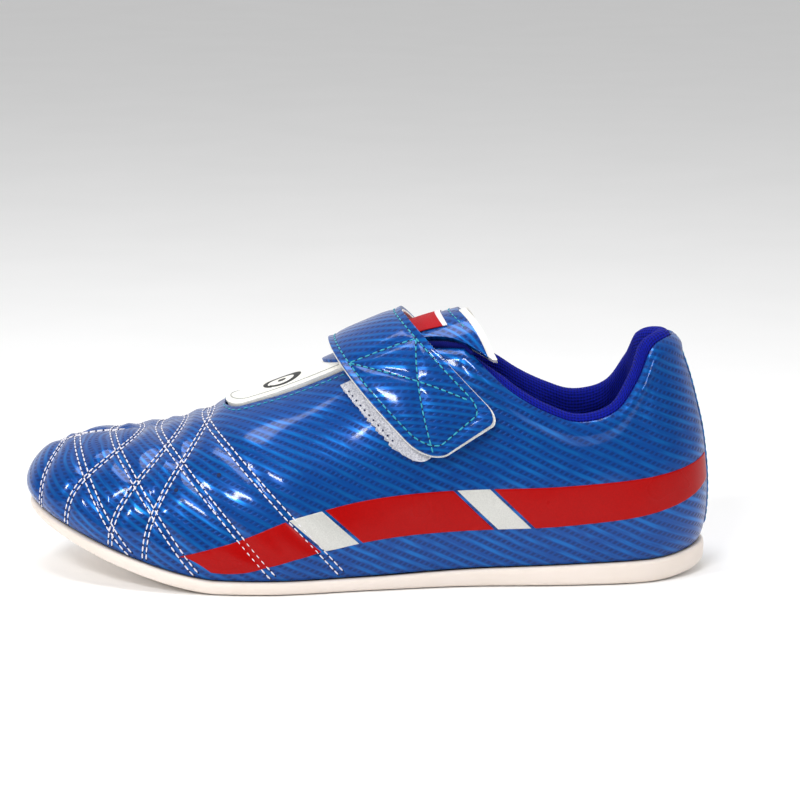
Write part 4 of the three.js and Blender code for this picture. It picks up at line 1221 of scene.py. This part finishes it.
class SHOE_OT_strap(bpy.types.Operator):
    """Build the strap's leather, backing, stitching and both tapes"""

    bl_idname = "shoe.strap"
    bl_label = "Strap"

    def execute(self, context):
        face = StrapFace()
        settings = context.scene.shoe_strap
        lines = self.stitch_lines(settings.inset / MM)
        tree = tree_of(np.vstack([spread(face.at(t, w)[0], 240) for t, w in lines]))

        def puffed(turn, w, lift):
            base, _ = face.at(turn, w)
            d = distances(tree, base)
            sunk = -0.4 * np.exp(-((d / 1.3) ** 2)) + 0.35 * (1 - np.exp(-((d / 4) ** 2)))
            return face.at(turn, w, lift + sunk)

        w = share_columns(45)
        split = np.full_like(w, SPLIT)
        reach, wide = radians(0.5), 1 + 0.7 / STRAP_WIDTH  # how far the backing stands out past the cover
        for name, start, end, rows, nodes in (
            ("foot", anchor_end(w), split, 70, ("anchor", "bridge")),
            ("flap", split, flap_end(w), 84, ("flap",)),
        ):
            foot = name == "foot"
            u = np.linspace(0, 1, rows)[:, None]
            turn = lerp(start[None, :], end[None, :], u)
            across = np.broadcast_to(w, turn.shape)
            points, _ = puffed(turn, across, PANEL)
            uv = np.stack([np.interp(turn, face.turns, face.far), across * STRAP_UV], -1)
            cover = finished(bent_grid(points, uv), f"strap_{name}_leather", finish("strap_leather"))
            thicken(cover, PANEL, 0.5, 3)
            first, final = (start - reach, end) if foot else (start, end + reach)
            base, _ = face.at(lerp(first[None, :], final[None, :], u), across * wide, -0.1)
            backing = finished(bent_grid(base), f"strap_{name}_backing", finish("backing"))
            thicken(backing, 1.0, 0.35, 2)
            self.join(face, cover, name, "strap_blue", [f"strap_{n}_cover" for n in nodes])
            self.join(face, backing, name, "strap_backing", [f"strap_{n}_backing" for n in nodes])
            bm, strap_hole_shades = bmesh.new(), bmesh.new()
            for t, share in lines:
                inside = t < SPLIT if foot else t >= SPLIT
                if inside.sum() > 3:
                    line, normals = puffed(t[inside], share[inside], PANEL + 0.1)
                    thread(bm, line, normals, settings.stitch / MM, 2.4, settings.thread / MM)
                    # Painted shade: dark beads at the needle punctures between the stitches.
                    thread(strap_hole_shades, line, normals, settings.stitch / MM, 1.1, 0.8, 0.12, phase=0.0)
            for made, word, material in ((bm, "stitches", "blue_thread"), (strap_hole_shades, "needle_holes", "hole")):
                self.join(face, finished(made, f"strap_{name}_{word}", finish(material)), name, None, [])
        self.tapes(face)
        return {"FINISHED"}

    def join(self, face, piece, name, slot, nodes):
        """Hides the CAD nodes that a part of the strap stands for, and bakes its modifiers and place into its
        mesh.
        """
        fold_turn, bodies = {
            "foot": (ANCHOR_FOLD_TURN, ("shoe", "strap_bridge")),
            "flap": (FLAP_FOLD_TURN, ("strap_bridge", "strap_flap")),
        }[name]
        turns = fold_turn + np.radians([-5.0, 5.0])
        spans = face.at(turns, 0.0, PANEL)[0] * MM
        shown(piece, None, slot, *nodes)
        freeze(piece)
        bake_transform(piece)

    def stitch_lines(self, inset):
        """The strap's stitching as lines of turn and share: a row in from each edge, a row across the
        fold, and on the flap a box with both diagonals."""
        share = 0.5 - inset / STRAP_UV
        turn_inset = radians(2.8)
        w = share_columns(90) * 2 * share
        flap = flap_end(w / (2 * share), turn_inset)
        anchor = anchor_end(w / (2 * share), turn_inset)
        fold_turn = FLAP_FOLD_TURN + radians(1.5)
        rows = []
        for edge in (-1, 1):
            ends = [end(0.5 * edge, turn_inset) for end in (anchor_end, flap_end)]
            rows.append((np.linspace(*ends, 200), np.full(200, edge * share)))
        rows += [(flap, w), (anchor, w)]
        across = np.linspace(-share, share, 60)
        rows.append((np.full_like(across, fold_turn), across))
        low = flap_end(0.0, turn_inset)
        for edge in (-1, 1):
            foot = low - END_SLANT * edge * share * 2 * 0.8 - radians(2)
            rows.append((np.linspace(fold_turn, foot, 90), np.linspace(-edge, edge * 0.9, 90) * share))
        return rows

    def tapes(self, face):
        """The loop tape on the quarter, its nap uneven, with a row of dark beads along one edge as painted shade
        of its needle punctures, and the hook tape under the flap.
        """
        v = np.linspace(0, 1, 56)
        u = np.linspace(0, 1, 90)[:, None]
        w = lerp(-0.64, 0.12, v)
        end = radians(30.6) + END_SLANT * w + CORNER_TURN * rounding(v - 0.5, CORNER_SHARE)
        turn = QUARTER_TURN - lerp(radians(64), end[None, :], u)
        k, angle = strap_cell(turn, np.broadcast_to(w, turn.shape))
        nap = np.array([[noise.noise(Vector(p) / 1.3) for p in row] for row in last(k, angle)])
        points, _ = skin(k, angle)
        points = points + last_normal(k, angle) * (LOOP_TOP - 0.1 + 0.28 * nap)[..., None]
        loop = sheet("loop_tape_pad", points, finish("loop"), 1.5, 0.4, segments=2)
        shown(loop, "shoe", "loop", "loop_tape")
        # Painted shade: a row of dark beads along the tape's edge, standing for its needle punctures.
        bm = bmesh.new()
        edge = np.full(80, -0.605)
        t = QUARTER_TURN - np.linspace(radians(60), radians(33), 80)
        k, angle = strap_cell(t, edge)
        points, normals = skin(k, angle, LOOP_TOP + 0.05)
        thread(bm, points, normals, 2.6, 0.9, 0.8)
        sewn(bm, "loop_tape_needle_holes", "hole")
        w = share_columns(30) * 0.84
        first = FLAP_FOLD_TURN + radians(6)
        turn = lerp(first, flap_end(w / 0.84, radians(4))[None, :], np.linspace(0, 1, 60)[:, None])
        base, _ = face.at(turn, np.broadcast_to(w, turn.shape), -1.45)
        hook = sheet("hook_tape_pad", base, finish("hook"), 1.1, 0.3, segments=2)
        shown(hook, "strap_flap", "hook", "hook_tape")


# ---------------------------------------------------------------- tongue
TONGUE_START, TONGUE_END, TONGUE_FLARE = THROAT_FRONT + 0.03, 7.06, 0.28
tongue_half = through([(SEAM_TOP, 13.2), (6.2, 13.2), (6.8, 15.4), (7.3, 22.5)])
OVERLAY_START = 5.58
cover_half = through([(OVERLAY_START, 5), (5.9, 11), (6.3, 12.4), (7.3, 13)])


def overlay_half(k):
    return lerp(cover_half(k), tongue_half(k) + 0.3, smooth_step((k - 5.9) / 0.35))


def tongue_at(k, distance, lift):
    """Points and normals over the tongue at a station and a distance from the ridge, minus on the outer side."""
    side = np.where(distance <= 0, 1, -1)
    angle = angle_from_ridge(side * k, distance)
    share = distance / tongue_half(k)
    point, normal = last(side * k, angle), last_normal(side * k, angle)
    ridge = last_normal(k, np.full_like(np.asarray(k, float), np.pi / 2))
    even = smooth_step(np.abs(distance) / 5)[..., None]
    normal = unit(lerp(ridge, normal, even))
    return point + normal * (lift + 0.7 * (1 - share**2))[..., None], normal


def tongue_grid(columns, rows, start, end, lift, half=tongue_half, nose=SEAM_TOP - THROAT_FRONT):
    """A sheet over the tongue between two stations, its front end rounded and its rear corners swept back."""
    side = np.sin(np.linspace(-np.pi / 2, np.pi / 2, columns))[:, None]
    front = start + nose * (1 - np.sqrt(1 - side**2))
    k = lerp(front, end + TONGUE_FLARE * side**2, np.linspace(0, 1, rows)[None, :])
    points, _ = tongue_at(k, side * half(k), lift)
    return points[::-1].copy()


class SHOE_OT_tongue(bpy.types.Operator):
    """Build the padded tongue with its piping, printed ring, overlay and label"""

    bl_idname = "shoe.tongue"
    bl_label = "Tongue"

    def execute(self, context):
        points = tongue_grid(41, 120, TONGUE_START, TONGUE_END, 1.4)
        faces = [finish("white"), finish("toe_lining")]
        pad = sheet("tongue_pad", points, faces, 4.4, 1.3, segments=4, back=1)
        shown(pad, "tongue", "tongue_white", "tongue_shell", "tongue_foam", "tongue_lining")
        freeze(pad)

        points = tongue_grid(35, 90, OVERLAY_START, TONGUE_END - 0.09, 2.7, overlay_half, 0.16)
        overlay = sheet("tongue_overlay", points, finish("strap_leather"), 3.2, 0.6)
        shown(overlay, "tongue", "strap_blue", "tongue_cover")

        side, k = crossed(np.linspace(-1, 1, 25), np.linspace(6.4, 6.8, 17))
        points, _ = tongue_at(k + 0.06 * side**2, side * 12, 3.45)
        label = sheet("woven_label", points[::-1].copy(), finish("label"), 0.5, 0.15, segments=2)
        shown(label, "tongue", "label", "tongue_label")

        self.piping()
        self.printed_ring()
        bm = bmesh.new()
        distance = np.linspace(-14, 14, 60)
        line, normals = tongue_at(np.full(60, 6.88) + TONGUE_FLARE * (distance / 19) ** 2, distance, 2.85)
        thread(bm, line, normals, 2.8, 2.2, 0.55)
        sewn(bm, "tongue_stitches", "blue_thread", "tongue")
        return {"FINISHED"}

    def piping(self):
        """A thin grey line sewn 2.6 mm inside the tongue's edge."""
        bm = bmesh.new()
        theta, inset = np.linspace(-np.pi / 2, np.pi / 2, 60), 2.6
        nose_k = TONGUE_START + 0.07 + (SEAM_TOP - THROAT_FRONT) * (1 - np.cos(theta))
        nose_d = (13.2 - inset) * np.sin(theta)
        k = np.linspace(nose_k[-1], 5.75, 90)
        k = np.concatenate([k[::-1], nose_k[1:-1], k])
        d = np.concatenate([np.full(90, nose_d[0]), nose_d[1:-1], np.full(90, nose_d[-1])])
        points, normals = tongue_at(k, d, 1.45)
        thread(bm, points, normals, 1.2, 1.7, 0.6)
        sewn(bm, "tongue_piping", "grey", "tongue")

    def printed_ring(self):
        """A plain brush-drawn ring with a dot, printed near the tongue's front."""
        count = 150
        turn = np.linspace(radians(-150), radians(235), count)
        width = 0.5 + 1.7 * np.sin(np.linspace(0.1, np.pi - 0.05, count)) ** 0.7
        drift = np.linspace(-0.35, 0.35, count)[:, None]
        ring = 4.9 + width[:, None] / 2 * np.linspace(-1, 1, 7)[None, :] + drift
        dot = np.linspace(0.02, 1.25, 7)[None, :] * np.ones((count, 1))
        bm = bmesh.new()
        for radius, angles in ((ring, turn), (dot, np.linspace(0, 2 * np.pi, count))):
            x, y = radius * np.cos(angles)[:, None] * 1.4, radius * np.sin(angles)[:, None]
            points, _ = tongue_at(5.1 + x / 36, y - 3.6, 1.5)
            bent_grid(points[:, ::-1].copy(), bm=bm)
        shown(thicken(finished(bm, "printed_ring", finish("ink")), 0.06), "tongue", None)


# ---------------------------------------------------------------- stage
CAMERA_AIM, CAMERA_AWAY, CAMERA_TILT, CAMERA_LENS = Vector((0.0126, 0, 0.0687)), 1.25, radians(12), 138.2
# Each soft lamp: its name, its place, what it points at, its size in metres and its watts.
LAMPS = [
    ("overhead_box", (-0.1, -0.1, 1.2), (0, 0, 0.05), (0.8, 0.4), 6.5),
    ("front_strip", (-0.35, -0.95, 0.85), (-0.05, 0, 0.05), (0.4, 0.09), 6.5),
    ("side_spot", (-0.85, -0.6, 0.55), (-0.08, 0, 0.05), (0.12, 0.12), 3),
    ("rear_strip", (0.7, -0.6, 0.6), (0.1, 0, 0.06), (0.1, 0.4), 2.5),
]


def soft_light(name, place, aim, size, power):
    lamp = bpy.data.lights.new(name, "AREA")
    lamp.shape, lamp.size, lamp.size_y, lamp.energy = "RECTANGLE", *size, power
    holder = bpy.data.objects.new(name, lamp)
    bpy.context.scene.collection.objects.link(holder)
    holder.location = place
    holder.rotation_euler = (Vector(aim) - Vector(place)).to_track_quat("-Z", "Y").to_euler()


class SHOE_OT_stage(bpy.types.Operator):
    """Set up the camera, the floor and the soft studio light"""

    bl_idname = "shoe.stage"
    bl_label = "Stage"

    def execute(self, context):
        scene = context.scene
        camera = bpy.data.cameras.new("camera")
        camera.sensor_width, camera.lens = 36, CAMERA_LENS
        holder = bpy.data.objects.new("camera", camera)
        scene.collection.objects.link(holder)
        away = Vector((0, -math.cos(CAMERA_TILT), math.sin(CAMERA_TILT))) * CAMERA_AWAY
        holder.location = CAMERA_AIM + away
        holder.rotation_euler = (CAMERA_AIM - holder.location).to_track_quat("-Z", "Y").to_euler()
        scene.camera = holder

        bm = bmesh.new()
        bmesh.ops.create_grid(bm, x_segments=1, y_segments=1, size=6)
        bmesh.ops.translate(bm, vec=(0, 0, -0.0003), verts=bm.verts)
        material, tree, shader = finish_of("matt_studio_paper", Roughness=0.9)
        shade = noise_of(tree, object_mm(tree), 90, 2)
        paper = blend_colours(tree, shade, opaque("#fbfbfb"), opaque("#f6f6f6"))
        drive(tree, shader, Base_Color=paper)
        floor = finished(bm, "studio_floor", material)

        world = bpy.data.worlds.new("studio")
        world.use_nodes = True
        sky = world.node_tree
        # The room is dark behind the camera and bright beyond the shoe.
        way = add(sky, "ShaderNodeTexCoord").outputs["Generated"]
        depth = add(sky, "ShaderNodeSeparateXYZ", {"Vector": way}).outputs[1]
        backdrop = sky.nodes["Background"]
        backdrop.inputs["Color"].default_value = (1, 1, 1, 1)
        drive(sky, backdrop, Strength=level(sky, depth, -0.2, 0.5, 0.24, 0.97))
        scene.world = world
        scene.view_settings.view_transform = "Standard"
        for lamp in LAMPS:
            soft_light(*lamp)
        return {"FINISHED"}


# ---------------------------------------------------------------- add-on
class SHOE_PT_panel(bpy.types.Panel):
    """Lists the shoe's operators and settings"""

    bl_label = "Martial Arts Shoe"
    bl_space_type = "VIEW_3D"
    bl_region_type = "UI"
    bl_category = "Shoe"

    def draw(self, context):
        for operator in OPERATORS:
            self.layout.operator(operator.bl_idname)
        for group in SETTINGS:
            box = self.layout.box()
            held = getattr(context.scene, group)
            for name in held.bl_rna.properties.keys():
                if name not in ("rna_type", "name"):
                    box.prop(held, name)


OPERATORS = (
    SHOE_OT_stage,
    SHOE_OT_sole,
    SHOE_OT_upper,
    SHOE_OT_bands,
    SHOE_OT_collar,
    SHOE_OT_strap,
    SHOE_OT_tongue,
)
SETTINGS = {
    "shoe_colours": ShoeColours,
    "shoe_upper": ShoeUpper,
    "shoe_sole": ShoeSole,
    "shoe_strap": ShoeStrap,
}


def register():
    for made in (*SETTINGS.values(), *OPERATORS, SHOE_PT_panel):
        bpy.utils.register_class(made)
    for name, group in SETTINGS.items():
        setattr(bpy.types.Scene, name, bpy.props.PointerProperty(type=group))


def unregister():
    for name in SETTINGS:
        delattr(bpy.types.Scene, name)
    for made in (SHOE_PT_panel, *reversed(OPERATORS), *SETTINGS.values()):
        bpy.utils.unregister_class(made)


def main():
    register()
    for operator in OPERATORS:
        group, name = operator.bl_idname.split(".")
        getattr(getattr(bpy.ops, group), name)()


if __name__ == "__main__":
    main()
